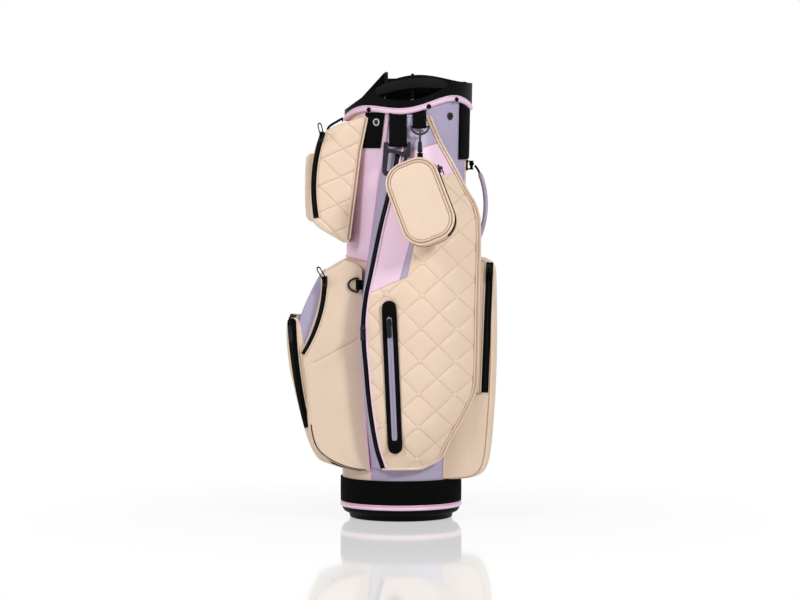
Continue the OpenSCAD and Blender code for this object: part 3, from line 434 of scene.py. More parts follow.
tape = textured("black_tape", BLACK, 0.85, weave, 900, 0.08, 0.55, specular=0.04)
band_cloth = textured("band_cloth", rgb(9, 9, 10), 0.9, weave, 700, 0.1, 0.55, specular=0.05)
lilac_tape = textured("lilac_tape", rgb(172, 162, 190), 0.7, weave, 900, 0.08, 0.75)
lining = textured("divider_cloth", SMOKE, 0.9, weave, 600, 0.1, 0.7, specular=0.12)
moulded = textured("black_plastic", rgb(6, 6, 7), 0.5, grain, 1500, 0.02, 0.85, specular=0.05)
board = textured("board", rgb(52, 50, 48), 0.85, grain, 600, 0.05, 0.8)
rubber = textured("grip_rubber", rgb(17, 17, 19), 0.6, grain, 1100, 0.05, 0.85, specular=0.08)
tooth = textured("zip_teeth", rgb(15, 15, 16), 0.4, grain, 1500, 0.01, 0.9, specular=0.25)
black_metal = textured("black_metal", rgb(14, 14, 15), 0.32, grain, 400, 0.005, 0.8, metallic=0.15, specular=0.3)
dark_metal = textured("dark_metal", SMOKE, 0.34, grain, 400, 0.006, 0.85, metallic=0.85)
steel = textured("steel", rgb(196, 197, 200), 0.24, grain, 400, 0.004, 0.9, metallic=1.0)
thread_black = textured("thread_black", rgb(26, 26, 28), 0.7, grain, 2500, 0.02, specular=0.15)
thread_rose = textured("thread_rose", rgb(205, 140, 184), 0.7, grain, 2500, 0.02)
print("materials:", len(bpy.data.materials))

# %% [markdown]
# ## The garment panel's zones
# The front panel of a garment pocket is pieced: pink upper left, lilac top and a narrow lilac stripe,
# beige with quilting below. The seams are straight lines on the flat cut, so the material tests the
# place against them. The same lines steer the quilting relief in the mesh later.

# %% Zone lines
PINK_EDGE = np.array([[440, -14], [477, -3.9], [555, 17.6], [620, 50], [687, 84], [692, 170], [820, 190]])
STRIPE = 13.0
QUILT_ROW, QUILT_UP, QUILT_TURN = 70.2, 64.4, np.radians(1.7)
QUILT_X, QUILT_Z = 39.0, 385.0
LOW_SLOPE, TOP_SLOPE = 0.442, 0.3
# The brown that seams and quilting creases are darkened towards, as painted shade
CREASE_SHADE = (0.62, 0.46, 0.36, 1)


def zone_lines(x, z):
    """Distances in mm of a panel place from its seams, positive inside: pink lower seam, pink right
    seam, lilac top seam, and the right side of the lilac stripe."""
    low = z - (456 + (x + 58.6) * LOW_SLOPE)
    edge = np.interp(z, PINK_EDGE[:, 0], PINK_EDGE[:, 1])
    top = z - (730 + (x - 11.7) * TOP_SLOPE)
    stripe = edge + STRIPE * np.clip(1 - (z - 486) / 200, 0, 1)
    return low, edge - x, top, stripe - x


print("pink edge from", PINK_EDGE[0].tolist(), "to", PINK_EDGE[-1].tolist())

# %% Creased leather
def place_terms(tree, spot):
    """The x and z of a place on the object, in mm."""
    return [t * 1000.0 for t in split_terms(tree, spot.outputs["Object"], (0, 2))]


def near_whole(a):
    """How far a term is from the nearest whole number."""
    return abs((a + 0.5).math("FRACT") - 0.5)


def creased(tree, shader, colour, shadow, dent):
    """Grained leather of one colour, darker by the share shadow and 0.5 mm deeper where dent is 1."""
    g = node(tree, "ShaderNodeGroup", node_tree=grain)
    g.inputs[0].default_value = 850.0
    dark = shadow + (Term(tree, g.outputs["Shade"]) * -0.16 + 0.1)
    mix = node(tree, "ShaderNodeMix", {"Factor": dark.value, 6: colour, 7: CREASE_SHADE}, data_type="RGBA",
               blend_type="MULTIPLY")
    tree.links.new(mix.outputs[2], shader.inputs["Base Color"])
    relief = Term(tree, g.outputs["Height"]) * 0.06 - dent * 0.5
    bump = node(tree, "ShaderNodeBump", {"Height": relief.value, "Strength": 1.0, "Distance": MM})
    tree.links.new(bump.outputs[0], shader.inputs["Normal"])


print("creased leather ready")

# %% Panel material
def panel_material(name):
    """The zones as node arithmetic on the object's own x and z, with painted shade along each seam and
    along the quilting lines of the beige part, the shade their grooves would have."""
    m, tree, shader = base_material(name, 0.42)
    x, z = place_terms(tree, node(tree, "ShaderNodeTexCoord"))
    low = z - (x * LOW_SLOPE + (456 + 58.6 * LOW_SLOPE))
    top = z - (x * TOP_SLOPE + (730 - 11.7 * TOP_SLOPE))
    # The pink edge as a curve: heights 440 to 840 and places -50 to 200 become 0 to 1
    ramp = node(tree, "ShaderNodeFloatCurve", {"Value": (z * (1 / 400.0) - 1.1).value})
    line = ramp.mapping.curves[0]
    knots = [((zk - 440) / 400, (xk + 50) / 250) for zk, xk in PINK_EDGE]
    line.points[0].location, line.points[1].location = knots[0], (1.0, knots[-1][1])
    for knot in knots[1:-1]:
        line.points.new(*knot)
    for p in line.points:
        p.handle_type = "VECTOR"
    ramp.mapping.update()
    right = Term(tree, ramp.outputs[0]) * 250.0 - 50.0 - x
    stripe = right + z.fade(486.0, 686.0, STRIPE, 0.0)
    above = low > 0.0
    is_pink = above * (right > 0.0)
    is_lilac = (top > 0.0) | (above * (stripe > 0.0) - is_pink) | 0.0
    # Quilting lines: sums and differences of the two lattice coordinates are whole numbers there
    c, s = float(np.cos(QUILT_TURN)), float(np.sin(QUILT_TURN))
    dx, dz = x - QUILT_X, z - QUILT_Z
    u = dx * (c / QUILT_ROW) + dz * (-s / QUILT_ROW)
    v = dx * (s / QUILT_UP) + dz * (c / QUILT_UP)
    seam = near_whole(u + v).math("MINIMUM", near_whole(u - v))
    quilt = seam.fade(0.008, 0.03) * (Term(tree, 1.0) - (is_pink | is_lilac))
    at_low, at_right, at_top, at_stripe = (abs(d).fade(0.5, 1.3) for d in (low, right, top, stripe))
    joints = (at_right | at_stripe) * above | at_low * (stripe > -1.0) | at_top
    first = node(tree, "ShaderNodeMix", {"Factor": is_pink.value, 6: BEIGE, 7: PINK}, data_type="RGBA")
    second = node(tree, "ShaderNodeMix", {"Factor": is_lilac.value, 6: first.outputs[2], 7: LILAC}, data_type="RGBA")
    # Painted shade: seams and quilting lines darkened towards a brown, as their grooves would be shaded
    creased(tree, shader, second.outputs[2], quilt * 0.26 | joints * 0.5, quilt | joints)
    return m


panel_cloth = panel_material("garment_panel")
print("panel material:", len(panel_cloth.node_tree.nodes), "nodes")

# %% Quilting of the upper pocket
def line_quilt(name, families):
    """Beige leather with fine creases of painted shade along families of straight lines, each (slope, x, z,
    vertical pitch), on faces that look sideways."""
    m, tree, shader = base_material(name, 0.42)
    spot = node(tree, "ShaderNodeTexCoord")
    x, z = place_terms(tree, spot)
    near = Term(tree, 0.0)
    for slope, x0, z0, pitch in families:
        off = (x * -slope + (slope * x0 - z0) + z) * (1 / pitch)
        gap = near_whole(off) * float(pitch / np.sqrt(1 + slope**2))
        near = near | gap.fade(0.4, 1.5)
    sideways = split_terms(tree, spot.outputs["Normal"], (1,))[0]
    near = near * abs(sideways).fade(0.7, 0.85, 0.0, 1.0)
    # Painted shade in the quilting creases
    creased(tree, shader, BEIGE, near * 0.3, near)
    return m


UPPER_LINES = [(-0.98, -159, 720.4, 60.4), (0.44, -166.1, 661, 52)]
upper_cloth = line_quilt("upper_quilting", UPPER_LINES)
print("upper pocket's material:", len(upper_cloth.node_tree.nodes), "nodes")

# %% [markdown]
# ## Putting a piece in place
# A finished piece gets its material, the body it moves with, and the CAD solids it stands for.
# Hard CAD pieces are shown as merged copies with small rounded edges, because moulded and cast pieces
# never have knife edges.

# %% Placing
shown = []


def put(piece, finish, body="bag", stands_for=()):
    """Material, body and the CAD nodes replaced."""
    finishes = finish if isinstance(finish, list) else [finish]
    for m in finishes:
        piece.data.materials.append(m)
    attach(piece, body)
    if stands_for:
        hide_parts(stands_for)
    shown.append(piece)
    return piece


# %% Refining CAD pieces
def refine(name, width, finish, body="bag", segments=2, angle=38, stretch=None):
    """A merged copy of a CAD node: doubles joined, flat faces made whole, edges rounded by a bevel.
    stretch, a point and a factor, lengthens the copy along the line from the point to its middle."""
    mesh = nodes[name].data.copy()
    mesh.transform(nodes[name].matrix_world)
    mesh.materials.clear()
    if stretch:
        co = np.empty(len(mesh.vertices) * 3)
        mesh.vertices.foreach_get("co", co)
        co = co.reshape(-1, 3)
        far = unit(co.mean(axis=0) - stretch[0])
        co = co + (stretch[1] - 1) * ((co - stretch[0]) @ far).clip(0)[:, None] * far
        mesh.vertices.foreach_set("co", co.ravel())
    b = bmesh.new()
    b.from_mesh(mesh)
    bmesh.ops.remove_doubles(b, verts=b.verts, dist=2e-6)
    bmesh.ops.dissolve_limit(b, angle_limit=np.radians(0.6), verts=b.verts, edges=b.edges)
    b.to_mesh(mesh)
    b.free()
    piece = link("fine_" + name, mesh, angle)
    bevel = piece.modifiers.new("Edge", "BEVEL")
    bevel.width, bevel.segments, bevel.limit_method = width * MM, segments, "ANGLE"
    bevel.angle_limit = np.radians(angle)
    bevel.harden_normals = True
    return put(piece, finish, body, name)


print("placing helpers ready")

# %% [markdown]
# ## Foot, piping and band
# The moulded foot is the CAD shape with rounded edges, with a wider tread turned round it. Above it a
# black woven band is sewn on, with a pink piping over its lower edge: a thick roll below and a flat
# stitched edge above.

# %% The tube's axis
TUBE, SKIN, LEAN = 118.0, 118.5, np.tan(np.radians(1.1))


def axis_x(z):
    """Where the axis of the leaning tube is at a height."""
    return (np.asarray(z, float) - 60) * LEAN


def on_tube(r, a, z):
    """Points at a radius from the tube's axis, at angles a and heights z."""
    return np.stack([axis_x(z) + r * np.cos(a), r * np.sin(a) + 0 * z, z], -1)


def lathe(name, profile, first=0.0, last=360.0, count=160, lean=True, angle=50):
    """A closed [radius, height] profile turned round the axis between two angles. Radius and height may
    change with the angle, as arrays [angle, point]. The axis leans with height."""
    whole = last - first >= 360
    a = fan(first, last, count, endpoint=not whole)[:, None]
    r = np.broadcast_to(profile[..., 0], (count, profile.shape[-2]))
    z = np.broadcast_to(profile[..., 1], (count, profile.shape[-2]))
    x = (axis_x(z) if lean else 0) + r * np.cos(a)
    points = np.stack([x, r * np.sin(a), z], -1)
    return surface(name, points, around=True, along=whole, caps=not whole, angle=angle)


print("the axis leans", round(float(LEAN), 4), "mm per mm")

# %% Base
refine("base_foot", 0.8, moulded)
tread = np.array([[84, 0.0], [99, 0.0], [101.6, 0.9], [102.8, 2.6], [103.6, 8.6], [105.2, 10.2],
                  [109.6, 11.4], [113.6, 13.6], [116.3, 17.2], [117.5, 21.4], [117.5, 23.2], [84, 23.2]])
put(lathe("foot_tread", tread, lean=False, angle=40), moulded)
turned = fan(-90, 90, 9)
roll = np.stack([118.9 + 3.2 * np.cos(turned) ** 0.7, 26.9 + 3.4 * np.sin(turned)], -1)
# The roll takes the lighter binding as painted highlight, the flat edge above it the rose one
put(lathe("base_piping_roll", np.vstack([[[118.9, 23.6]], roll, [[118.9, 30.4]]]), lean=False), pale,
    stands_for="base_piping")
flat = np.array([[118.9, 29.6], [120.7, 29.6], [121.2, 30.6], [121.2, 33.2], [120.8, 34.0], [118.9, 34.0]])
put(lathe("base_piping_edge", flat, lean=False, angle=60), rose)
folds = np.linspace(0, 1, 13)
face = np.stack([121.0 + 0.35 * np.sin(np.pi * folds), 34.4 + 48.0 * folds], -1)
band = np.vstack([face, [[118.9, 82.4], [118.9, 34.4]]])
put(lathe("base_band_cloth", band, lean=False), band_cloth, stands_for="base_band")
ring = fan(0, 360, 400)
ring = np.stack([121.0 * np.cos(ring), 121.0 * np.sin(ring), np.full(400, 32.2)], -1)
put(stitches("base_piping_thread", ring, unit(ring * [1, 1, 0])), thread_rose)
print("base:", [o.name for o in shown])

# %% [markdown]
# ## The tube
# Panels of coated leather make the tube: pink over beige at the front, lilac at both sides, beige at
# the back, and a narrow lilac one on each side of the ball pocket. Each is a thin sector that ends under
# the collar's pink trim. A piping covers the seam between the pink and the beige panel.

# %% Wall helpers
def wave_z(p):
    """Height of the collar's lower edge at an angle from the front, in radians."""
    return 825 - 12.7 * np.cos(p) - 1.3 * np.cos(2 * p) + 1.7 * np.cos(3 * p) - 8 * np.cos(4 * p)


def under_trim(a):
    """Height up to which a wall runs at an angle: just under the trim."""
    return wave_z(a - np.pi) - 7


def front_seam(a):
    """Height of the seam between the pink and the beige panel, which dips towards both sides."""
    return 523 - 13 * np.sin(a - np.pi) ** 2


def wall(name, first, last, low, high, finish, node_name=(), r=TUBE):
    """A sector of the tube's skin, about 3 mm thick, between two heights that may follow the angle."""
    a = fan(first, last, 72)[:, None]
    low, top = (h(a) if callable(h) else np.full_like(a, h) for h in (low, high))
    k = np.linspace(0, 1, 30)[None]
    outer = np.stack([np.full((72, 30), r), low + (top - low) * k], -1)
    inner = np.stack([np.full((72, 2), 115.0), np.hstack([top, low])], -1)
    return put(lathe(name, np.concatenate([outer, inner], 1), first, last, 72), finish, stands_for=node_name)


print("collar edge at the front:", round(float(wave_z(0)), 1), "mm")

# %% Walls
wall("front_pink", 110, 250, lambda a: front_seam(a) + 0.2, under_trim, pink, "front_wall_upper")
wall("front_beige", 110, 250, 27, lambda a: front_seam(a) - 0.2, beige, "front_wall_lower")
wall("low_lilac_right", 240, 250, 83, 300, lilac, r=SKIN)
wall("low_lilac_left", 110, 120, 83, 300, lilac, r=SKIN)
wall("side_right_lilac", 250.05, 345, 27, under_trim, lilac, "right_wall")
wall("side_left_lilac", 15, 109.95, 27, under_trim, lilac, "left_wall")
wall("back_beige", -14.95, 14.95, 27, under_trim, beige, "back_wall")
seam = fan(112, 248, 90)
seam = np.stack([axis_x(519.5) + 118.6 * np.cos(seam), 118.6 * np.sin(seam), front_seam(seam)], -1)
put(sweep("front_seam_piping", seam, disc(1.8), [0, 0, 1]), rose)
for name, angle, low, top, r, finish in (
        ("right", 250, 300, 800, 1.2, beige), ("left", 110, 300, 800, 1.2, beige),
        ("low_right", 240, 84, 300, 1.7, rose), ("low_left", 120, 84, 300, 1.7, rose),
        ("back_right", 345, 84, 800, 1.2, beige), ("back_left", 15, 84, 800, 1.2, beige)):
    a = np.radians(angle)
    upright = np.linspace(low, top, 120)
    line = on_tube(TUBE + 0.4, a, upright)
    put(sweep("tube_seam_" + name, line, disc(r, 8), [np.cos(a), np.sin(a), 0]), finish)
print("walls up to", round(float(wave_z(np.pi)), 1), "mm")

# %% [markdown]
# ## Collar, trim and dividers
# The collar, its grips and the divider rails are moulded, so they keep their CAD form. Under the collar
# runs a padded pink trim, sewn in below the wavy edge. The divider sheets hang down from the rails in
# slightly billowed cloth.

# %% Collar
refine("collar", 1.4, moulded, segments=3)
refine("hand_grips", 1.2, rubber, segments=3)
refine("collar_studs", 0.5, moulded)
refine("divider_rails", 1.2, moulded)
refine("base_board", 0.3, board)
refine("wall_stays", 0.3, moulded)
a = fan(0, 360, 240, endpoint=False)[:, None]
low, high = wave_z(a - np.pi) - 13.0, wave_z(a - np.pi) - 0.5
turn = fan(-78, 78, 33)[None]
groove = 1.9 * np.exp(-(((np.sin(turn) - 0.46) / 0.13) ** 2))
out = 118.4 + 10.4 * np.cos(turn) ** 0.35 * (1 + 0 * a) - groove
up = (low + high) / 2 + (high - low) / 2 * np.sin(turn) / np.sin(np.radians(78))
trim = np.stack([np.hstack([out, np.full((240, 2), 118.4)]), np.hstack([up, high - 0.6, low + 0.6])], -1)
put(lathe("collar_trim_roll", trim, count=240), pink, stands_for="collar_trim")
edge = fan(0, 360, 700)
z = wave_z(edge - np.pi) - 4.3
edge = on_tube(126.9, edge, z)
put(stitches("collar_trim_thread", edge, unit(edge * [1, 1, 0])), thread_rose)
print("pieces with collar and trim:", len(shown))

# %% Divider sheets
SHEET_FOOT, SHEET_TOP = 68.0, 838.0


def hung_sheet(start, end, high, wave):
    """A sheet between two upright lines, 2.4 mm thick, that billows by wave times a sine each way."""
    s, k = np.linspace(0, 1, 25)[None], np.linspace(0, 1, 60)[:, None]
    (x0, y0), (x1, y1) = start, end
    n = unit(np.array([y1 - y0, x0 - x1]))
    push = wave * np.sin(np.pi * s) * np.sin(2.3 * np.pi * k) * np.sin(np.pi * k) ** 0.5
    z = SHEET_FOOT + (high - SHEET_FOOT) * k + 0 * s
    mid = np.stack([x0 + (x1 - x0) * s + n[0] * push, y0 + (y1 - y0) * s + n[1] * push, z], -1)
    off = np.append(n, 0) * 1.2
    return np.concatenate([mid + off, (mid - off)[:, ::-1]], 1)


sheets = []
for x in (-29.0, 23.0, 75.0):
    reach = np.sqrt(93.0**2 - x**2)
    sheets.append(hung_sheet((x, -reach), (x, reach), SHEET_TOP, 1.2))
last = None
for x, ys, high in ((-29.0, (-37, 37), 820.0), (23.0, (-53, 0, 53), SHEET_TOP), (75.0, (-53, 0, 53), SHEET_TOP),
                    (None, (-35, 35), SHEET_TOP)):
    for y in ys:
        left = -np.sqrt(93.0**2 - y**2) if last is None else last + 2.2
        right = np.sqrt(95.0**2 - y**2) if x is None else x - 2.2
        sheets.append(hung_sheet((left, y), (right, y), high, 0.9))
    last = x
cloths = [surface(f"divider_cloth_{i:02d}", s, around=True, caps=True) for i, s in enumerate(sheets)]
for i, (c, grid) in enumerate(zip(cloths, sheets)):
    put(c, lining, stands_for="divider_sheets" if i == 0 else ())
print("divider sheets:", len(cloths))

# %% [markdown]
# ## Inflating a sewn pocket
# A real pocket is two layers of leather with foam between them, drawn tight at its seams. After its
# form is built from numbers, a short cloth simulation with a little inner pressure lets the free areas
# swell between the held seams. The movement is capped, so that zips and pipings stay where they are.

# %% Cloth
def inflate(piece, held, pressure=2.5, cap=5.0, frames=16):
    """Moves the free vertices by the cloth simulation's shift, cut to the cap in mm. held is a mask of
    the vertices sewn fast."""
    count = len(piece.data.vertices)
    start = np.empty(count * 3)
    piece.data.vertices.foreach_get("co", start)
    sewn = piece.vertex_groups.new(name="sewn")
    sewn.add(np.flatnonzero(held.ravel()).tolist(), 1.0, "REPLACE")
    cloth = piece.modifiers.new("Swell", "CLOTH")
    s = cloth.settings
    s.quality, s.mass = 5, 0.3
    s.tension_stiffness = s.compression_stiffness = 30
    s.shear_stiffness, s.bending_stiffness = 15, 6
    s.use_pressure, s.uniform_pressure_force = True, pressure
    s.vertex_group_mass = "sewn"
    s.effector_weights.gravity = 0
    cloth.collision_settings.use_collision = False
    cloth.point_cache.frame_start, cloth.point_cache.frame_end = 1, frames
    for f in range(1, frames + 1):
        scene.frame_set(f)
    now = np.empty(count * 3)
    live = piece.evaluated_get(bpy.context.evaluated_depsgraph_get())
    live.data.vertices.foreach_get("co", now)
    piece.modifiers.remove(cloth)
    piece.vertex_groups.clear()
    scene.frame_set(1)
    move = (now - start).reshape(-1, 3)
    size = np.linalg.norm(move, axis=1, keepdims=True)
    move *= np.minimum(1, cap * MM / np.maximum(size, 1e-9))
    piece.data.vertices.foreach_set("co", (start + move.ravel()))
    piece.data.update()
    print(piece.name, "swelled up to", round(float(np.minimum(size, cap * MM).max() * 1000), 2), "mm")


print("cloth helper ready")

# %% [markdown]
# ## Pockets at the front and the back
# Seen from the side, each of these pockets is an outline: a front line from the bottom seam round to the
# top seam. Rings of points follow that line. Each ring starts at the tube, runs along one side, turns a
# soft corner, crosses the front and comes back on the other side. Where a ring would lie inside the
# tube, it is moved out onto the tube's skin.

# %% Pocket rings
COUNTS, UPPER_COUNTS, BACK = (34, 6, 40), (52, 6, 40), 14
BALL_SEAM = (0.546, -192.3, 304.8)


def pocket(name, line, half, back, corner, levels, sign=-1, side_puff=4.0, front_puff=3.0, flat_from=0.8,
           counts=COUNTS, relief=None):
    """Rings along the softened front line [depth from the axis, height]. At share k of a ring's side the
    side bulges by side_puff times the sine of k until flat_from, where the zip lies flat; the front
    bulges by front_puff times one minus the square of its share. sign tells front (-1) from back (1)."""
    path = resample(soften(line, 3), levels)
    deep, z = path[:, :1], path[:, 1:]
    low = np.minimum(np.interp(z[:, 0], [p[1] for p in back], [p[0] for p in back])[:, None], deep - 0.5)
    ns, nc, nf = counts
    r = np.clip((deep - low) * 0.45, 0.3, corner)
    k = np.linspace(0, 1, ns)[None]
    rise = np.sin(np.pi * np.linspace(0, 1, levels)[:, None]) ** 0.5
    side_d = low + (deep - r - low) * k
    side_y = half + (side_puff * rise * np.sin(np.pi * np.clip(k / flat_from, 0, 1)) ** 1.2
                     * np.clip((deep - low) / 40, 0, 1))
    turn = np.radians(np.linspace(0, 90, nc + 2)[1:-1])[None]
    bend_d, bend_y = deep - r + r * np.sin(turn), half - r + r * np.cos(turn)
    f = np.linspace(1, -1, nf)[None]
    front_y = (half - r) * f
    front_d = deep + front_puff * rise * (1 - f**2)
    g = np.linspace(-1, 1, BACK + 2)[1:-1][None]
    d = np.hstack([side_d, bend_d, front_d, bend_d[:, ::-1], side_d[:, ::-1], low + 0 * g])
    y = np.hstack([side_y, bend_y, front_y, -bend_y[:, ::-1], -side_y[:, ::-1], half * g + 0 * low])
    x, zz = sign * d, z + 0 * d
    inside = (x - axis_x(zz)) ** 2 + y**2 < SKIN**2
    skin = axis_x(zz) + sign * np.sqrt(np.maximum(SKIN**2 - y**2, 0))
    x = np.where(inside, skin, x)
    points = np.stack([x, y, zz], -1)
    if relief is not None:
        start = np.clip(k[0] / 0.12, 0, 1)
        side = np.zeros(d.shape[1])
        side[:ns], side[-ns - BACK:-BACK] = start, -start[::-1]
        points[..., 1] += side * relief(x, zz)
    piece = surface(name, points, around=True, caps=True, angle=70)
    held = np.zeros(d.shape, bool)
    held[:3] = held[-3:] = True
    flat = int(ns * flat_from)
    held[:, np.r_[0:3, flat - 2:ns + nc + 3, ns + nc + nf - 3:2 * (ns + nc) + nf - flat + 2]] = True
    held[:, 2 * (ns + nc) + nf - 3:] = True
    return piece, points, held | inside


print("pocket helper ready")

# %% Sewing helpers
def sew(name, stands_for, finish, fill, swelled=False, **form):
    """A pocket in its place, blown up by the cloth simulation if asked. Gives its points."""
    piece, points, held = pocket(name + "_shell", **form)
    if swelled:
        inflate(piece, held, 2.0, 4.0)
    put(piece, finish, stands_for=stands_for)
    return points


def lines_relief(families, depth, spread):
    """Grooves along families of straight stitch lines: each is (slope, x, z, vertical pitch)."""
    def relief(x, z):
        """Minus depth times the bell curve of the distance from the nearest line."""
        deep = np.zeros_like(x)
        for slope, x0, z0, pitch in families:
            off = (z - z0 - slope * (x - x0)) / pitch
            d = np.abs(off - np.round(off)) * pitch / np.sqrt(1 + slope**2)
            deep = np.maximum(deep, np.exp(-((d / spread) ** 2)))
        return -depth * deep
    return relief


def piping_at(name, points, column, r, finish, rows, shift=(0, 0, 0)):
    """A round piping along one column of a grid of points, moved by shift."""
    path = resample(points[rows, column] + np.asarray(shift, float), 120)
    return put(sweep(name, path, disc(r), [0.3, 0.9, 0.2]), finish)


print("sewing helpers ready")

# %% Front and back pockets
upper_p = sew("upper_pocket", "upper_pocket", upper_cloth, 0.6, True, half=88, corner=14, levels=150,
              line=[(114, 552), (174, 586), (182, 614), (176, 700), (162, 774), (66, 802)],
              back=[(102, 558), (80, 734), (66, 802)], counts=UPPER_COUNTS, relief=lines_relief(UPPER_LINES, 1.5, 2.4))
sew("upper_strip", "upper_outer_pocket", beige, 0.7, half=74, corner=8, levels=60, side_puff=0.5, front_puff=1.0,
    line=[(158, 592), (182, 592), (190.5, 608), (189.5, 714), (184, 728), (158, 728)], back=[(160, 586), (160, 738)])
ball_p = sew("ball_pocket", "ball_pocket", beige, 0.6, True, half=105, corner=12, levels=150, side_puff=3.0,
             line=[(58, 101), (100, 106.5), (122, 112.5), (147, 124), (168, 140), (178.5, 160), (184.5, 191),
                   (187, 243), (190.5, 288), (198.5, 330), (175.5, 388), (162.5, 430), (157.5, 462), (159, 489),
                   (147, 496), (126, 509), (111, 517)],
             back=[(56, 100), (62, 104), (64, 130), (67, 164), (69, 195), (72, 240), (75, 288), (77, 330), (77, 500),
                   (84, 508), (97, 514), (109, 517)],
             flat_from=0.72, relief=lines_relief([(*BALL_SEAM, 900.0)], 2.0, 2.4))
sew("ball_gusset", "ball_gusset", lilac, 0.5, half=88, corner=5, levels=70, side_puff=1.5, front_puff=1.0,
    line=[(186, 322), (208, 332), (209, 388), (160, 494), (148, 494)], back=[(180, 322), (168, 394), (146, 494)],
    flat_from=0.9)
sew("outer_pocket", "ball_outer_pocket", beige, 0.6, half=88, corner=8, levels=110, side_puff=1.5, front_puff=1.5,
    line=[(72, 97.5), (100, 102), (120, 106.5), (138, 112.5), (150, 116), (163, 121.5), (177, 142), (191, 180),
          (207, 243), (213, 270), (221.5, 305), (226, 352), (227, 378), (225, 397), (217, 404), (207, 399)],
    back=[(70, 97), (100, 103), (120, 108), (136, 114), (150, 130), (160, 160), (165, 180), (176, 322), (204, 404)],
    flat_from=0.6)
rear_p = sew("back_pocket", "back_pocket", beige, 0.6, True, half=84, corner=12, levels=140, side_puff=3.0,
             line=[(62, 84), (146, 85), (172, 102), (181, 160), (190, 316), (189, 480), (186, 511), (164, 520),
                   (62, 513)],
             back=[(80, 84), (80, 521)], flat_from=0.7, sign=1)
print("pockets:", [o.name for o in shown if o.name.endswith("_shell")])

# %% [markdown]
# ## Pipings of these pockets
# Where a pocket's side meets its front, and where it meets the tube, the makers sew in a piping: a cord
# wrapped in leather. The upper pocket has two side by side along its rear seam, and the ball pocket has
# a pink one.

# %% Pipings
def marks(counts, s):
    """Columns of a pocket's rings on its left (s = 1) or right: tube seam, front corner, beside the corner."""
    ns, nc, nf = counts
    if s > 0:
        return 0, ns + nc // 2, ns + 1
    return 2 * (ns + nc) + nf - 1, ns + nc + nf + nc // 2, ns + 2 * nc + nf - 2


HANDS = ((1, "l"), (-1, "r"))
for tag, pts, counts in (("upper", upper_p, UPPER_COUNTS), ("ball", ball_p, COUNTS), ("back", rear_p, COUNTS)):
    for s, hand in HANDS:
        piping_at(f"{tag}_front_piping_{hand}", pts, marks(counts, s)[1], 1.5, beige, slice(8, -8))
low, seam_row = (int((ball_p[:, 0, 2] < z).sum()) for z in (330, 196))
slope, x0, z0 = BALL_SEAM
for s, hand in HANDS:
    # Between the two rear pipings lies a thin cord of painted shade
    for name, r, finish, dx, dy in (("piping_a", 2.0, bound, 0.7, 1.2), ("piping_b", 1.8, bound, -5.2, 1.6),
                                    ("tuck", 0.9, tuck, -2.4, 2.0)):
        column = marks(UPPER_COUNTS, s)[0]
        piping_at(f"upper_rear_{name}_{hand}", upper_p, column, r, finish, slice(6, -6), (dx, s * dy, 0))
    seam, _, beside = marks(COUNTS, s)
    piping_at("ball_rear_piping_" + hand, ball_p, seam, 2.0, rose, slice(3, low), (0, s * 0.6, 0))
    piping_at("back_rear_piping_" + hand, rear_p, seam, 1.8, beige, slice(6, -6), (0, s * 0.8, 0))
    piping_at("ball_low_seam_" + hand, ball_p, beside, 0.9, tape, slice(4, seam_row), (0, s * 0.5, 0))
    # A thin cord of painted shade beside the back pocket's front corner
    piping_at("back_tuck_" + hand, rear_p, beside - 2 * s, 0.9, tuck, slice(8, -8), (0, s * 0.2, 0))
    side = ball_p[20:-20, 3:COUNTS[0] - 3] if s > 0 else ball_p[20:-20, -BACK - COUNTS[0] + 3:-BACK - 3][:, ::-1]
    off = side[..., 2] - (z0 + slope * (side[..., 0] - x0))
    crease = side[np.argmin(np.abs(off), axis=0), np.arange(side.shape[1])]
    crease[:, 2] = z0 + slope * (crease[:, 0] - x0)
    put(sweep("ball_crease_" + hand, resample(crease, 60) + [0, s * 0.9, 0.9], disc(0.9, 8), [0, s, 0]), bound)
print("pieces so far:", len(shown))

# %% [markdown]
# ## The garment pockets
# The two side pockets are the largest sewn pieces. Each is a ring at every height: the panel, bulging
# between its left and right edge, the lilac gusset with the long zip on one side, and a narrow beige
# wall on the other, both down to the tube. The panel is quilted in diamonds with a button where the
# lines cross.

# %% Garment outline
LEFT = [[0, -40], [0.06, -52.5], [0.149, -63.4], [0.216, -69.3], [0.284, -73.2], [0.352, -77.3], [0.41, -78.8],
        [0.487, -73.5], [0.554, -63.8], [0.622, -54], [0.69, -44], [0.757, -32.5], [0.85, -17], [0.935, -4],
        [1, 5]]
LEFT_OUT = [[0, 16], [0.075, 24], [0.28, 28], [0.51, 28], [0.65, 27], [0.765, 24], [0.85, 18], [0.935, 10],
            [1, 3.5]]
SEWN = [[0, -60], [0.155, -70], [0.35, -79], [0.505, -74], [0.65, -59], [0.735, -51], [0.82, -43], [0.92, -30],
        [1, -24]]
RIGHT = [[0, 40], [0.026, 76], [0.078, 96], [0.153, 126], [0.21, 145], [0.255, 150], [0.48, 153], [0.7, 155],
         [0.748, 147], [0.79, 130], [0.856, 106], [0.932, 77], [1, 57]]
RIGHT_OUT = [[0, 8], [0.026, -2], [0.078, -6], [0.153, -14], [0.21, -19], [0.48, -14], [0.7, -12], [0.748, -14],
             [0.79, -11], [0.856, -10], [0.932, -12], [1, -4]]
RIGHT_ANGLE = [[0, 288], [0.078, 300], [0.21, 308], [0.7, 308], [0.79, 306], [0.856, 302], [0.932, 297],
               [1, 290]]
BULGE = [[0, 0.2], [0.046, 0.5], [0.133, 0.83], [0.42, 1], [0.68, 0.95], [0.768, 0.8], [0.855, 0.56],
         [0.94, 0.29], [1, 0.085]]
FOOT, TALL = 108, 693


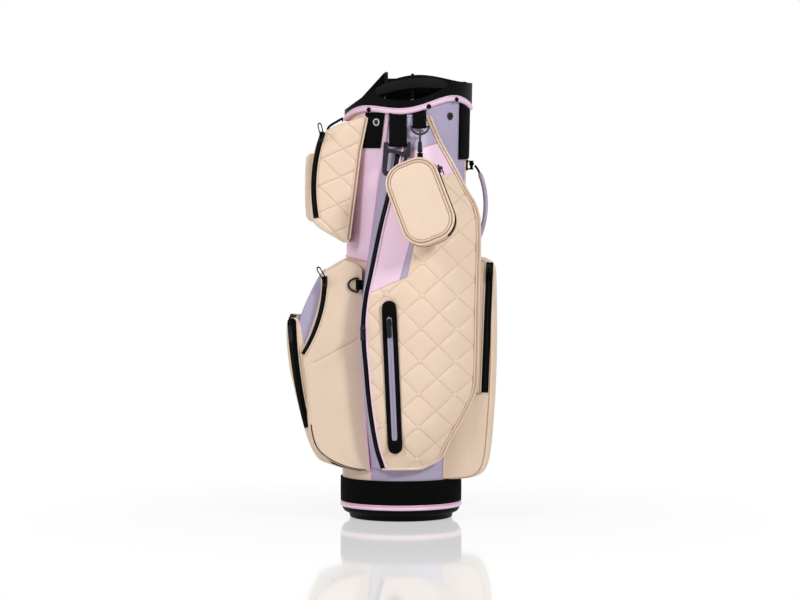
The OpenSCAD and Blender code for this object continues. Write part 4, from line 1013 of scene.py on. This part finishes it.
def edges(t):
    """Left and right edge of the panel, and the sewn line on the tube, as [x, y] at share t of the height."""
    z = FOOT + TALL * t
    left = np.stack([curve(LEFT, t), -TUBE - curve(LEFT_OUT, t)], -1)
    right = np.stack([curve(RIGHT, t), -TUBE - curve(RIGHT_OUT, t)], -1)
    x = curve(SEWN, t)
    sewn = np.stack([x, -np.sqrt(118.6**2 - (x - axis_x(z)) ** 2)], -1)
    return z, left, right, sewn


print("garment pockets from", FOOT, "to", FOOT + TALL, "mm")

# %% Panel form and quilting
PUFF, PUFF_FALL = 2.3, 4.5


def square(d):
    """[x, y] directions turned by a right angle, out of the bag's right side."""
    return np.stack([d[:, 1], -d[:, 0]], -1)


def belly(t, s):
    """How far the panel stands out at share t of its height and share s of its width."""
    return 41 * curve(BULGE, t) * 4 * s * (1 - s)


def quilt_height(x, z):
    """Puff of the quilting: for both families of stitch lines, one less the falling exponential of the
    distance from the nearest line; their product makes round cushions that meet in the stitch lines."""
    c, s = np.cos(QUILT_TURN), np.sin(QUILT_TURN)
    u = ((x - QUILT_X) * c - (z - QUILT_Z) * s) / QUILT_ROW
    v = ((x - QUILT_X) * s + (z - QUILT_Z) * c) / QUILT_UP
    apart = 1 / np.hypot(1 / QUILT_ROW, 1 / QUILT_UP)
    first, second = (np.abs(w - np.round(w)) * apart for w in (u + v, u - v))
    return PUFF * (1 - np.exp(-first / PUFF_FALL)) * (1 - np.exp(-second / PUFF_FALL))


print("quilting puff:", PUFF, "mm")

# %% Garment shell
WELT_X, WELT_MID = -17.7, 290
GARMENTS = (("right", -1), ("left", 1))


def garment(name, side):
    """Rings of panel, right wall, tube and gusset columns; side is -1 for the right of the bag."""
    rows, cp, cw, ct, cg = 300, 96, 8, 16, 24
    t = np.linspace(0, 1, rows)
    z, left, right, sewn = edges(t)
    d = right - left
    n = unit(square(d))
    s = np.linspace(0, 1, cp)[None]
    panel = left[:, None] + s[..., None] * d[:, None] + n[:, None] * belly(t[:, None], s)[..., None]
    px, pz = panel[..., 0], z[:, None] + 0 * panel[..., 0]
    low, _, top, stripe = zone_lines(px, pz)
    plain = 1 - np.clip(np.minimum(low, stripe) / 6 + 1, 0, 1) * (top < 0) - np.clip(top / 6 + 1, 0, 1)
    border = np.minimum(s, 1 - s) * np.linalg.norm(d, axis=1)[:, None]
    border = np.minimum(border, np.minimum(z - FOOT, FOOT + TALL - z)[:, None])
    fade = np.clip((border - 5) / 12, 0, 1)
    if side < 0:
        # Flat ground under the welt
        beside = np.abs(px - WELT_X + (pz - WELT_MID) * 0.05)
        fade = fade * np.clip(np.maximum((beside - 13) / 6, (np.abs(pz - WELT_MID) - 148) / 8), 0, 1)
    puff = quilt_height(px, pz) * np.clip(plain, 0, 1) * fade
    panel = panel + n[:, None] * puff[..., None]
    a = np.radians(curve(RIGHT_ANGLE, t))
    foot = on_tube(SKIN, a, z)[..., :2]
    k = np.linspace(0, 1, cw + 2)[1:-1][None, :, None]
    right_wall = right[:, None] + k * (foot - right)[:, None]
    b = np.arctan2(sewn[:, 1], sewn[:, 0] - axis_x(z)) % (2 * np.pi)
    w = np.linspace(0, 1, ct)[None]
    arc = a[:, None] + (b - a)[:, None] * w
    tube = on_tube(SKIN, arc, z[:, None] + 0 * arc)[..., :2]
    g = np.linspace(0, 1, cg + 2)[1:-1][None, :, None]
    across = left - sewn
    gusset = sewn[:, None] + g * across[:, None]
    swell = np.sin(np.pi * np.clip(g / 0.7, 0, 1)) * 2.0 * np.sin(np.pi * t)[:, None, None] ** 0.4
    gn = unit(square(across))
    gusset = gusset + gn[:, None] * np.where(gn[:, None, :1] < 0, 1, -1) * swell
    ring = np.concatenate([panel, right_wall, tube, gusset], 1)
    points = np.concatenate([ring, np.broadcast_to(z[:, None, None], ring.shape[:2] + (1,))], -1)
    points[..., 1] *= -side
    kinds = np.r_[np.zeros(cp - 1), np.ones(cw + ct + 1), np.full(cg + 1, 2)][: ring.shape[1]]
    piece = surface(name, points, around=True, caps=True, angle=70, zones=kinds[None].astype(np.int32))
    return piece, points, (left, sewn, z, n, d)


gar, rings = {}, {}
for tag, side in GARMENTS:
    piece, rings[tag], gar[tag] = garment(f"{tag}_garment_shell", side)
    put(piece, [panel_cloth, beige, lilac], stands_for=f"{tag}_pocket")
print("garment pockets:", len(piece.data.polygons), "faces each")

# %% [markdown]
# The panel's edges are bound: a pink piping along the zip side, a double beige one on the other side,
# and buttons sit in the quilting's dimples. The long zip is a black tape on the panel's margin, between
# its left edge and the pink piping.

# %% Garment edges and zip
def flat_at(p, z):
    """[x, y] places with their heights as points."""
    return np.concatenate([p, z[:, None]], -1)


def mirrored(points, side):
    """Points of the right side, or their mirror images for the left."""
    return points * [1, -side, 1]


def margin(t):
    """Direction along the panel from its left edge, and out of it there, at share t of the height."""
    _, left, right, _ = edges(t)
    d = right - left
    u = unit(d / 16 + unit(square(d)) * belly(t, 1 / 16)[:, None])
    return u, square(u)


def from_right(tag, inward, out):
    """The line on a panel that runs this far in from its right edge, raised by out."""
    left, _, z, n, d = gar[tag]
    share = 1 - inward / np.linalg.norm(d, axis=1)
    rise = belly(np.linspace(0, 1, len(z)), share) + out
    return flat_at(left + d * share[:, None] + n * rise[:, None], z)


for tag, side in GARMENTS:
    left, sewn, z, n, d = gar[tag]
    u, o = margin(np.linspace(0, 1, len(z)))
    path = resample(mirrored(flat_at(left + o * 0.6 - u * 0.4, z), side), 200)
    put(sweep(f"{tag}_edge_piping", path, disc(1.5, 8), [-1, 0, 0.1]), lilac)
    path = resample(mirrored(flat_at(left + u * 12.4 + o * 0.9, z)[1:-20], side), 200)
    # The pink piping in the lighter binding colour, a painted highlight
    put(sweep(f"{tag}_pink_piping", path, disc(2.2, 12), [-1, 0, 0.1]), pale)
    # Two beige pipings on the right edge, with thin cords of painted shade beside them
    for name, inward, out, r, finish in (("outer", 0.4, 0.3, 2.7, bound), ("inner", 7.4, 0.7, 2.1, bound),
                                         ("shade_line_a", 4.4, 0.6, 0.9, tuck), ("shade_line_b", 10.2, 0.3, 0.8, tuck)):
        path = resample(mirrored(from_right(tag, inward, out), side), 220)
        put(sweep(f"{tag}_{name}_piping", path, disc(r, 10), [1, 0, 0.1]), finish)
    for end, row in (("low", 0), ("top", -1)):
        path = resample(rings[tag][row, 4:94], 90)
        put(sweep(f"{tag}_{end}_piping", path, disc(2.5, 10), [0, 0, 1]), bound if end == "low" else lilac)
    t = np.linspace(0.003, 0.9, 120)
    zt, start, _, _ = edges(t)
    u, o = margin(t)
    mid = mirrored(flat_at(start + u * 5.8 + o * 1.4, zt), side)
    face = mirrored(np.concatenate([o, 0 * zt[:, None]], -1), side)
    put(sweep(f"{tag}_long_tape", mid, slab(8.6, -0.9, 0.9, 0.4), face), tape,
        stands_for="side_zip_tapes" if side < 0 else ())
    put(teeth(f"{tag}_long_teeth", mid + face * 0.9, face, 2.6, 2.2), tooth)
    path = mirrored(flat_at(sewn + unit(sewn) * 0.8, z)[4:-4], side)
    put(sweep(f"{tag}_gusset_piping", resample(path, 160), disc(1.6, 8), [-1, 0, 0.1]), rose)
print("edges done:", len(shown))

# %% Buttons
i, j = np.meshgrid(np.arange(-2, 3), np.arange(-5, 7))
c, s = np.cos(QUILT_TURN), np.sin(QUILT_TURN)
bx = (QUILT_X + i * QUILT_ROW * c + j * QUILT_UP * s).ravel()
bz = (QUILT_Z - i * QUILT_ROW * s + j * QUILT_UP * c).ravel()
low, _, top, stripe = zone_lines(bx, bz)
t = np.clip((bz - FOOT) / TALL, 0, 1)
_, start, end, _ = edges(t)
d = end - start
n = unit(square(d))
share = (bx - start[:, 0]) / d[:, 0]
for _ in range(4):
    lift = belly(t, share)
    share = share + (bx - (start[:, 0] + share * d[:, 0] + n[:, 0] * lift)) / d[:, 0]
on = (share * d[:, 0] > 14) & ((1 - share) * d[:, 0] > 14) & (bz > 125) & (bz < 780)
on &= ~((low > -8) & (stripe > -8)) & (top < -8)
on &= ~((np.abs(bx - WELT_X + (bz - WELT_MID) * 0.05) < 20) & (np.abs(bz - WELT_MID) < 156))
dome, dome_faces = tube_form(np.stack([np.column_stack([disc(r), np.full(10, h)])
                                       for r, h in ((4.4, -1.2), (4.3, 0.5), (3.3, 1.2), (1.4, 1.5))]))
where = start + share[:, None] * d + n * (lift + 0.1)[:, None]
for tag, side in GARMENTS:
    at = mirrored(flat_at(where, bz)[on], side)
    face = mirrored(np.concatenate([n, 0 * bz[:, None]], -1)[on], side)
    put(scatter(f"{tag}_buttons", dome, dome_faces, at, np.broadcast_to([0.0, 0, 1], at.shape), face), beige)
print("buttons on each panel:", int(on.sum()))

# %% [markdown]
# ## Zips on the front and back pockets
# Each zip is a woven tape with two rows of teeth, laid on the flat strip beside the pocket's front
# edge. The front pockets have the same tapes on their left. The sliders and pullers are cast pieces
# from the CAD frame, two of them with their cord loops drawn out longer.

# %% Zip lines
ARCS = {"upper": (157.6, -88, 660, 330, 19.5, 172, -1, 10), "ball": (-432.3, -105, 483.2, 282, 0.6, 162, 1, 10),
        "outer": (821.2, -88, 443.4, 1041.6, -2.23, 219, -1, 11)}
TAPER = {"outer": (1.6, 1.1), "ball": (1.0, 0.7)}
LONGER = {"upper": 1.35, "ball": 1.6}


def zip_line(tag):
    """Points down a tape and its width: straight at the back, else along an arc about its centre."""
    run = np.linspace(0, 1, 60)
    if tag == "back":
        a = np.radians(-2.2)
        return np.array([175.5, -84, 513]) + (run * 258)[:, None] * [np.sin(a), 0, -np.cos(a)], 14
    x, y, z, r, first, length, side, width = ARCS[tag]
    a = np.radians(first) - run * length / r
    return np.stack([x + side * r * np.cos(a), y + 0 * a, z + r * np.sin(a)], -1), width


print("zips on arcs:", list(ARCS))

# %% Tapes and teeth
for tag in ("upper", "ball", "outer", "back"):
    path, width = zip_line(tag)
    stands = {"upper": "front_zip_tapes", "back": "back_zip_tape"}.get(tag, ())
    wide = np.linspace(*TAPER.get(tag, (1, 1)), len(path))
    run = np.linspace(0, 1, len(path))
    middle = path
    if tag == "outer":
        middle = path + np.array([1.0, 0, 0]) * ((wide - 1) * width / 2 + 2.2 * run)[:, None]
        wide = wide * np.sqrt(np.clip(1 - (1 - run / 0.035).clip(0) ** 2, 0.15, 1))
    put(sweep(f"{tag}_tape", middle, slab(width, -1.4, 1.6, 0.4), [0, -1, 0], wide=wide), tape, stands_for=stands)
    put(teeth(f"{tag}_teeth", path + [0, -1.5, 0], [0, -1, 0]), tooth)
    down = heading(path)
    hand = 1 if tag == "back" else -1
    edge = middle + np.cross(down, [0, -1, 0]) * ((width * wide / 2 + 1.6) * hand)[:, None]
    put(sweep(f"{tag}_zip_welt", edge + [0, -0.6, 0], disc(1.5, 8), [0, -1, 0]), beige)
mouth = np.column_stack([np.full(60, -216.4), np.linspace(-84, 84, 60), 401.6 - 1.6 * np.linspace(-1, 1, 60) ** 4])
put(sweep("outer_tape_over", mouth, slab(12, -1.2, 1.2, 0.4), [0.1, 0, 1]), tape)
for tag in ("upper", "ball", "outer"):
    path, width = zip_line(tag)
    put(sweep(f"{tag}_tape_left", path * [1, -1, 1], slab(width, -1.4, 1.6, 0.4), [0, 1, 0]), tape)
    put(teeth(f"{tag}_teeth_left", path * [1, -1, 1] + [0, 1.5, 0], [0, 1, 0]), tooth)
# The seam across the back pocket, drawn as a cord in the painted shade colour
cross = np.column_stack([np.linspace(118, 160, 30), np.full(30, -87.4), np.linspace(252, 254, 30)])
put(sweep("back_cross_seam", cross, disc(1.0, 8), [0, -1, 0]), tuck)
print("tapes placed:", len(shown))

# %% Sliders and pulls
for tag in ("upper", "ball", "outer", "right", "left", "welt", "back"):
    refine(f"{tag}_zip_slider", 0.3, black_metal, f"{tag}_slider")
    middle = np.mean(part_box(f"{tag}_zip_slider"), axis=0)
    look = tape if tag in ("upper", "ball", "back") else black_metal
    refine(f"{tag}_zip_pull", 0.35, look, f"{tag}_pull",
           stretch=(middle, LONGER[tag]) if tag in LONGER else None)
print("sliders and pulls placed:", len(shown))

# %% [markdown]
# ## The welt on the right panel
# The long narrow pocket of the right panel opens through a padded black stadium with a lilac zip in its
# slot. It is one ring: round the stadium, and across from the inner to the outer edge with a crown.

# %% Welt
def turned_by(axis, degrees):
    """A rotation about one axis as a matrix."""
    a = np.radians(degrees)
    c, s = np.cos(a), np.sin(a)
    return {"x": np.array([[1, 0, 0], [0, c, -s], [0, s, c]]), "y": np.array([[c, 0, s], [0, 1, 0], [-s, 0, c]]),
            "z": np.array([[c, -s, 0], [s, c, 0], [0, 0, 1]])}[axis]


WELT = turned_by("z", -98.824) @ turned_by("y", 2.866) @ turned_by("x", 2.1)
WELT_AT = np.array([-17.677, -163.307, 290.0])


def stadium(width, length, count=96):
    """Points round a stadium, [across, along], starting at its right side."""
    r, h = width / 2, (length - width) / 2
    a = np.linspace(0, 2 * np.pi, count, endpoint=False)
    return np.stack([r * np.cos(a), r * np.sin(a) + h * np.tanh(6 * np.sin(a))], -1)


hem, slot_edge = stadium(29.5, 301), stadium(11, 249)
slot_edge[:, 1] *= np.where(slot_edge[:, 1] > 0, 0.95, 1)
k = np.array([0, 0, 0.04, 0.14, 0.3, 0.5, 0.7, 0.86, 0.96, 1, 1])[None, :, None]
lift = np.array([-4, 1.0, 2.0, 2.8, 3.3, 3.5, 3.3, 2.8, 2.0, 1.0, -4])
flat = slot_edge[:, None] + k * (hem - slot_edge)[:, None]
local = np.concatenate([np.broadcast_to(lift[None, :, None], flat.shape[:2] + (1,)), flat], -1)
welt = surface("welt_pad", WELT_AT + local @ WELT.T, around=True, along=True, angle=60)
put(welt, webbing, stands_for="welt_frame")
line = np.stack([np.full(80, 0.4), np.zeros(80), np.linspace(-124, 124, 80)], -1)
line = WELT_AT + line @ WELT.T
put(sweep("welt_tape", line, slab(11.4, -1.5, 0.9, 0.3), WELT[:, 0]), lilac_tape, stands_for="welt_zip_tape")
put(teeth("welt_teeth", line + WELT[:, 0] * 0.9, WELT[:, 0]), lilac_tape)
rim = np.concatenate([np.full((96, 1), 2.9), stadium(23.5, 295)], -1)
rim = WELT_AT + np.vstack([rim, rim[:1]]) @ WELT.T
put(stitches("welt_thread", rim, WELT[:, 0]), thread_black)
print("welt done")

# %% [markdown]
# ## Webbing tabs, carabiner and rings
# Three webbing tabs hang from below the trim: one with a snap, one with the carabiner, one with the
# ring for the pouch. A tab that holds a bar is one strap that runs down, round the bar and back up.

# %% Strap helpers
def loop_strap(name, x, width, y0, z0, y1, z1, r, stands_for):
    """A strap in an upright plane: from its seam down the outer side, round the bar at (y1, z1) and up
    the inner side."""
    a = fan(180, 372, 22)
    rr = r + 1.0
    base = np.arctan2(z1 - z0, y1 - y0) + np.pi / 2
    arc = np.stack([y1 + rr * np.cos(a + base + 0.05), z1 + rr * np.sin(a + base + 0.05)], -1)
    back = np.array([[y0 + 1.6, z0 - 5]])
    front = np.array([[y0 + 3.6, z0 + 5.0], [y0 + 0.2, z0 + 0.6]])
    if np.linalg.norm(arc[0] - front[-1]) > np.linalg.norm(arc[-1] - front[-1]):
        arc = arc[::-1]
    yz = resample(soften(np.vstack([front, arc, back]), 2), 90)
    path = np.column_stack([np.full(90, x), yz])
    out = np.cross([1.0, 0, 0], heading(path))
    return put(sweep(name, path, slab(width, -0.8, 0.8, 0.4), out), webbing, stands_for=stands_for)


def tube_patch(name, a, z, r):
    """A patch on the tube: angles and heights as grids, the outer face at radius r, the inner one on the skin."""
    top, under = (on_tube(q, a, z).transpose(1, 0, 2) for q in (r, TUBE + 0.3))
    return surface(name, np.concatenate([top, under[:, ::-1]], 1), around=True, caps=True)


print("strap helpers ready")

# %% Straps
k = np.linspace(0, 1, 40)[None]
a = np.radians(222.5 + 3.0 * k + np.linspace(0, 1, 18)[:, None] * (20.7 + 1.2 * k))
put(tube_patch("snap_strap", a, 738 + 70 * k + 0 * a, 120.6), webbing, stands_for="snap_tab")
loop_strap("carabiner_strap", -6, 35, -124, 803.4, -141, 745, 2.9, "carabiner_tab")
loop_strap("ring_strap", 36, 27, -124, 806.4, -138, 780, 2.1, "ring_tabs")
for name, x, width, z0, y1, z1 in (("carabiner", -6, 35, 800, -141, 752), ("ring", 36, 27, 803, -138, 787)):
    for s, hand in ((-1, "l"), (1, "r")):
        zs = np.linspace(z0, z1, 20)
        ys = np.interp(zs, [z1, z0], [y1 - 2.6, -125.6])
        line = np.column_stack([np.full(20, x + s * (width / 2 - 3)), ys, zs])
        put(stitches(f"{name}_strap_thread_{hand}", line, [0, -1, 0.3]), thread_black)
a = fan(-200, 90, 26)
bend = np.column_stack([-85 + 3.2 * np.cos(a[::-1]), -109.4 + 3.2 * np.sin(a[::-1])])
path = resample(np.vstack([bend, [[-79, -106.2], [-76, -106.0]]]), 50)
path = np.column_stack([path, np.full(50, 469.0)])
out = np.cross([0.0, 0, 1], heading(path))
put(sweep("ball_ring_strap", path, slab(19, -0.8, 0.8, 0.4), out), webbing)
print("straps placed:", len(shown))

# %% Snaps
for name, angle, z, r, finish in (("front", 239.0, 789.0, 121.3, steel), ("side", 314.0, 801.0, 118.8, dark_metal)):
    a = np.radians(angle)
    turn = fan(0, 360, 32, endpoint=False)[:, None, None]
    out, across = np.array([np.cos(a), np.sin(a), 0]), np.array([-np.sin(a), np.cos(a), 0])
    c = np.array([axis_x(z), 0, z]) + out * r
    for part, rs, hs, look in (("ring", [7.5, 7.5, 6.8, 5.4, 4.8, 4.8], [-0.6, 1.0, 1.6, 1.6, 1.0, -0.6], finish),
                               ("well", [5.0, 4.9, 2.6, 2.2, 0.4], [-0.6, 0.5, 0.5, 1.3, 1.5], black_metal)):
        rs, hs = (np.array(v)[None, :, None] for v in (rs, hs))
        rows = c + rs * (np.cos(turn) * across + np.sin(turn) * [0, 0, 1]) + hs * out
        snap = surface(f"snap_{name}_{part}", rows.transpose(1, 0, 2), around=True, along=part == "ring",
                       caps=part != "ring", angle=40)
        put(snap, look, stands_for="snaps" if (name, part) == ("front", "ring") else ())
print("snaps placed:", len(shown))

# %% Carabiner and rings
refine("carabiner_frame", 0.9, dark_metal, "carabiner", segments=3)
refine("carabiner_pin", 0.2, black_metal, "carabiner")
refine("carabiner_gate", 0.6, black_metal, "gate")
refine("d_ring", 0.2, black_metal, "ring")
refine("pouch_clip", 0.3, black_metal, "clip")
a = fan(-90, 90, 40)
bow = np.column_stack([-85 - 18.5 * np.cos(a), -109.4 - 1.4 * np.cos(a), 469 + 13.4 * np.sin(a)])
bar = np.column_stack([np.full(18, -85.0), np.full(18, -109.4), np.linspace(482.4, 455.6, 20)[1:-1]])
wire = sweep("ball_ring_wire", np.vstack([bow, bar]), disc(2.1, 10), [0, -1, 0], closed=True)
put(wire, black_metal, "ball_ring", "ball_ring")
print("tabs and fittings done")

# %% [markdown]
# ## The pouch
# A small case of beige leather hangs from the clip: two faces, a gusset between them, and a round
# piping where they meet. Its form is the outline drawn in towards the middle on both faces. Cloth
# pressure then fills the faces between the pipings.

# %% Pouch outline
POUCH = turned_by("z", -12) @ turned_by("x", -12) @ turned_by("y", -23)
POUCH_AT = np.array([40.0, -206.0, 632.0])


def on_pouch(local):
    """Local points of the pouch (x right, y back, z up) in the frame."""
    return POUCH_AT + np.asarray(local, float) @ POUCH.T


def pouch_outline(extra=0.0, count=120):
    """A rectangle 104 by 168 with corners of 40, grown by extra, as [x, z] round its edge."""
    w, h, r = 52 + extra, 84 + extra, 40 + extra
    a = fan(0, 90, 14)
    c = np.array([[w - r, h - r], [r - w, h - r], [r - w, r - h], [w - r, r - h]])
    ang = a[None] + np.radians([0, 90, 180, 270])[:, None]
    loop = (c[:, None] + r * np.stack([np.cos(ang), np.sin(ang)], -1)).reshape(-1, 2)
    return resample(np.vstack([loop, loop[:1]]), count + 1)[:-1]


print("pouch outline:", len(pouch_outline()), "points")

# %% Pouch shell
flat = pouch_outline(-0.6)
k = np.array([0.03, 0.15, 0.3, 0.45, 0.6, 0.72, 0.82, 0.9, 0.95, 0.98, 1, 1.004, 1.008])
k = np.r_[k, k[::-1]]
y = np.array([18.6] * 7 + [18.2, 17.6, 17.0, 15.5, 8, 3])
y = np.r_[y, -y[::-1]]
local = np.stack([flat[:, 0] * k[:, None], y[:, None] + 0 * flat[:, 0], flat[:, 1] * k[:, None]], -1)
pouch = surface("pouch_shell", on_pouch(local), around=True, caps=True, angle=75)
held = np.zeros(local.shape[:2], bool)
held[7:19] = True
inflate(pouch, held, 2.5, 6.0)
put(pouch, beige, "pouch", "pouch")
print("pouch shell:", len(pouch.data.polygons), "faces")

# %% Pouch edges, zip and loop
# Pipings round the pouch, with thin cords of painted shade between and beside them
for tag, grow, depth, r, finish in (("front", -0.4, -16.4, 2.1, bound), ("front_inner", -6.2, -18.6, 1.7, bound),
                                    ("tuck", -3.3, -18.0, 0.8, tuck), ("shade_line_inner", -8.6, -18.7, 0.5, tuck),
                                    ("back", -0.9, 15.4, 1.6, bound), ("side", 0.4, 6.5, 1.0, tuck)):
    loop = pouch_outline(grow)
    path = on_pouch(np.column_stack([loop[:, 0], np.full(len(loop), depth), loop[:, 1]]))
    put(sweep(f"pouch_piping_{tag}", path, disc(r), POUCH[:, 1], closed=True), finish, "pouch")
loop = pouch_outline(0.9, 240)
loop = loop[loop[:, 0] > 24]
loop = loop[np.argsort(loop[:, 1])]
path = on_pouch(np.column_stack([loop[:, 0], -6.0 * np.clip((62 - loop[:, 1]) / 50, 0, 1), loop[:, 1]]))
put(sweep("pouch_tape", path, slab(9, -1.0, 1.0, 0.4), POUCH[:, 0]), tape, "pouch", "pouch_zip_tape")
put(teeth("pouch_teeth", path + POUCH[:, 0] * 0.8, POUCH[:, 0], 2.6, 1.8), tooth, "pouch")
refine("pouch_zip_slider", 0.3, black_metal, "pouch_slider")
pin = np.array([37.0, -166.33, 724.40])
a = fan(-20, 200, 20)
leg = np.array([0.0, -0.454, -0.891])
side = unit(np.cross([1.0, 0, 0], leg))
arc = pin - 3.2 * (np.sin(a)[:, None] * leg - np.cos(a)[:, None] * side)
path = resample(np.vstack([pin + leg * 26 + side * 3.2, arc, pin + leg * 26 - side * 3.2]), 60)
out = np.cross([1.0, 0, 0], heading(path))
put(sweep("pouch_loop", path, slab(11, -0.7, 0.7, 0.3), out), webbing, "pouch")
print("pouch done")

# %% [markdown]
# ## Rear handle, glove patch and elastic cord
# The carrying handle at the back is a padded lilac strap on two moulded anchors. Above it sits a black
# patch of loop fabric for the glove. A short elastic cord runs from the front stud to the upper pocket.

# %% Rear handle
u = np.linspace(0.02, 0.98, 110)
reach = 128.4 + 30 * np.sin(np.pi * u) ** 0.55
high = 707 - 169 * u
path = np.stack([axis_x(high) + reach, 0 * u, high], -1)
t = heading(path)
out = np.cross(t, [0.0, 1, 0])
across = np.cross(t, out)
turn = np.linspace(0, 2 * np.pi, 24, endpoint=False)
swell = (np.clip((u - 0.10) / 0.04, 0, 1) * np.clip((0.93 - u) / 0.05, 0, 1))[:, None] ** 0.5
wide = (3.6 + 9.4 * swell) * np.sign(np.cos(turn)) * np.abs(np.cos(turn)) ** 0.6
thick = (1.6 + 3.0 * swell) * np.sign(np.sin(turn)) * np.abs(np.sin(turn)) ** 0.8
rows = path[:, None] + wide[..., None] * across[:, None] + thick[..., None] * out[:, None]
sleeve = (u > 0.10) & (u < 0.935)
put(surface("handle_sleeve", rows[sleeve], around=True, caps=True), lilac, "handle", "rear_handle")
for tag, part in (("top", u < 0.13), ("low", u > 0.9)):
    put(sweep(f"handle_cord_{tag}", path[part], disc(2.2, 12), out[part]), webbing, "handle")
for s, hand in ((-1, "r"), (1, "l")):
    line = path + across * (s * 10.2) + out * 3.4
    put(stitches(f"handle_thread_{hand}", line[18:-12], out[18:-12]), thread_black, "handle")
for tag, z in (("top", 707.0), ("low", 538.0)):
    a = fan(0, 360, 30, endpoint=False)
    c = np.array([axis_x(z) + 128.4, 0, z])
    eye = c + 4.0 * np.stack([np.cos(a), 0 * a, np.sin(a)], -1)
    put(sweep(f"handle_eye_{tag}", eye, slab(12, -0.9, 0.9, 0.4), unit(eye - c), closed=True), webbing, "handle")
refine("rear_anchors", 0.5, moulded)
print("handle placed:", len(shown))

# %% Glove patch and cord
a = fan(-32, 32, 60)[:, None]
k = np.linspace(0, 1, 40)[None]
zz = 716 + (wave_z(a - np.pi) - 11 - 716) * k
rim = np.minimum(k * 88, (np.radians(32) - np.abs(a)) * 118)
nap = 123.6 - 2.6 * np.exp(-rim / 1.6) + 0.12 * np.sin(a * 190) * np.sin(zz * 1.9)
put(tube_patch("glove_cloth", a, zz, nap), band_cloth, stands_for="glove_patch")
cord = resample(soften([[-116.5, 0, 797.6], [-120, 0, 796], [-128, 0, 791.3], [-136, 0, 786.7], [-141.5, 0, 783.2],
                        [-145, 0, 779.4], [-147, 0, 774.6]], 3), 40)
rope = put(sweep("front_elastic", cord, disc(2.4, 12), [0, 1, 0]), tape, stands_for="front_cord")

# %% [markdown]
# ## Light, floor and camera
# A studio picture: soft light from all sides, a large lamp at the upper left and a smaller, stronger one
# at the upper right. The floor looks white and mirrors faintly, with a soft shadow near the bag. The
# camera stands far off, a little above the middle of the bag, and looks slightly down.

# %% World
def background_rays(tree):
    """1 for the rays that show the background: straight to the camera, or by way of metal or glass."""
    rays = node(tree, "ShaderNodeLightPath").outputs
    return Term(tree, rays["Is Camera Ray"]) | rays["Is Glossy Ray"] | rays["Is Transmission Ray"]


world = bpy.data.worlds.new("studio")
world.use_nodes = True
scene.world = world
tree = world.node_tree
back = tree.nodes["Background"]
power = background_rays(tree).fade(0.0, 1.0, 0.3, 1.0)
back.inputs["Color"].default_value = (1, 1, 1, 1)
tree.links.new(power.value, back.inputs["Strength"])
print("world:", world.name)

# %% Lamps
def lamp(name, at, aim, size, watts):
    """A square area light that looks at a point."""
    light = bpy.data.lights.new(name, "AREA")
    light.shape, light.size, light.energy = "SQUARE", size, watts
    o = bpy.data.objects.new(name, light)
    scene.collection.objects.link(o)
    at, aim = np.asarray(at, float), np.asarray(aim, float)
    back = unit(at - aim)
    right = unit(np.cross([0.0, 0, 1], back))
    up = np.cross(back, right)
    o.matrix_world = Matrix(np.vstack([np.column_stack([right, up, back, at]), [0, 0, 0, 1]]).tolist())


lamp("key", (-2.6, -2.4, 2.4), (0, 0, 0.45), 1.2, 62)
lamp("fill", (2.1, -2.7, 2.3), (0, 0, 0.45), 0.7, 72)
print("lamps:", len(bpy.data.lights))

# %% Floor
m, tree, shader = base_material("floor_pale", 0.1)
gloss = node(tree, "ShaderNodeBsdfGlossy", {"Color": (1, 1, 1, 1), "Roughness": 0.06})
glow = node(tree, "ShaderNodeEmission", {"Color": (1, 1, 1, 1), "Strength": 1.0})
white = node(tree, "ShaderNodeMixShader", {0: 0.68, 1: gloss.outputs[0], 2: glow.outputs[0]})
shader.inputs["Base Color"].default_value = (0.9, 0.9, 0.9, 1)
place = node(tree, "ShaderNodeTexCoord").outputs["Object"]
away = node(tree, "ShaderNodeVectorMath", {0: place}, operation="LENGTH").outputs["Value"]
near = Term(tree, away).fade(0.25, 0.8, 0.25, 0.0)
lit = node(tree, "ShaderNodeMixShader", {0: near.value, 1: white.outputs[0], 2: shader.outputs[0]})
both = node(tree, "ShaderNodeMixShader", {0: background_rays(tree).value, 1: shader.outputs[0], 2: lit.outputs[0]})
tree.links.new(both.outputs[0], tree.nodes["Material Output"].inputs["Surface"])
mesh = bpy.data.meshes.new("floor")
mesh.from_pydata([(-8, -8, -0.0004), (8, -8, -0.0004), (8, 8, -0.0004), (-8, 8, -0.0004)], [], [(0, 1, 2, 3)])
floor = bpy.data.objects.new("floor", mesh)
mesh.materials.append(m)
scene.collection.objects.link(floor)
print("floor:", floor.name)

# %% Camera
lens = bpy.data.cameras.new("camera")
lens.lens, lens.sensor_width = 146.25, 36.0
lens.clip_end = 50
eye = bpy.data.objects.new("camera", lens)
scene.collection.objects.link(eye)
eye.location = (-0.002, -6.5, 0.72)
eye.rotation_euler = (np.radians(90 - 2.514), 0, 0)
scene.camera = eye
scene.view_settings.view_transform = "Standard"
print("studio ready")
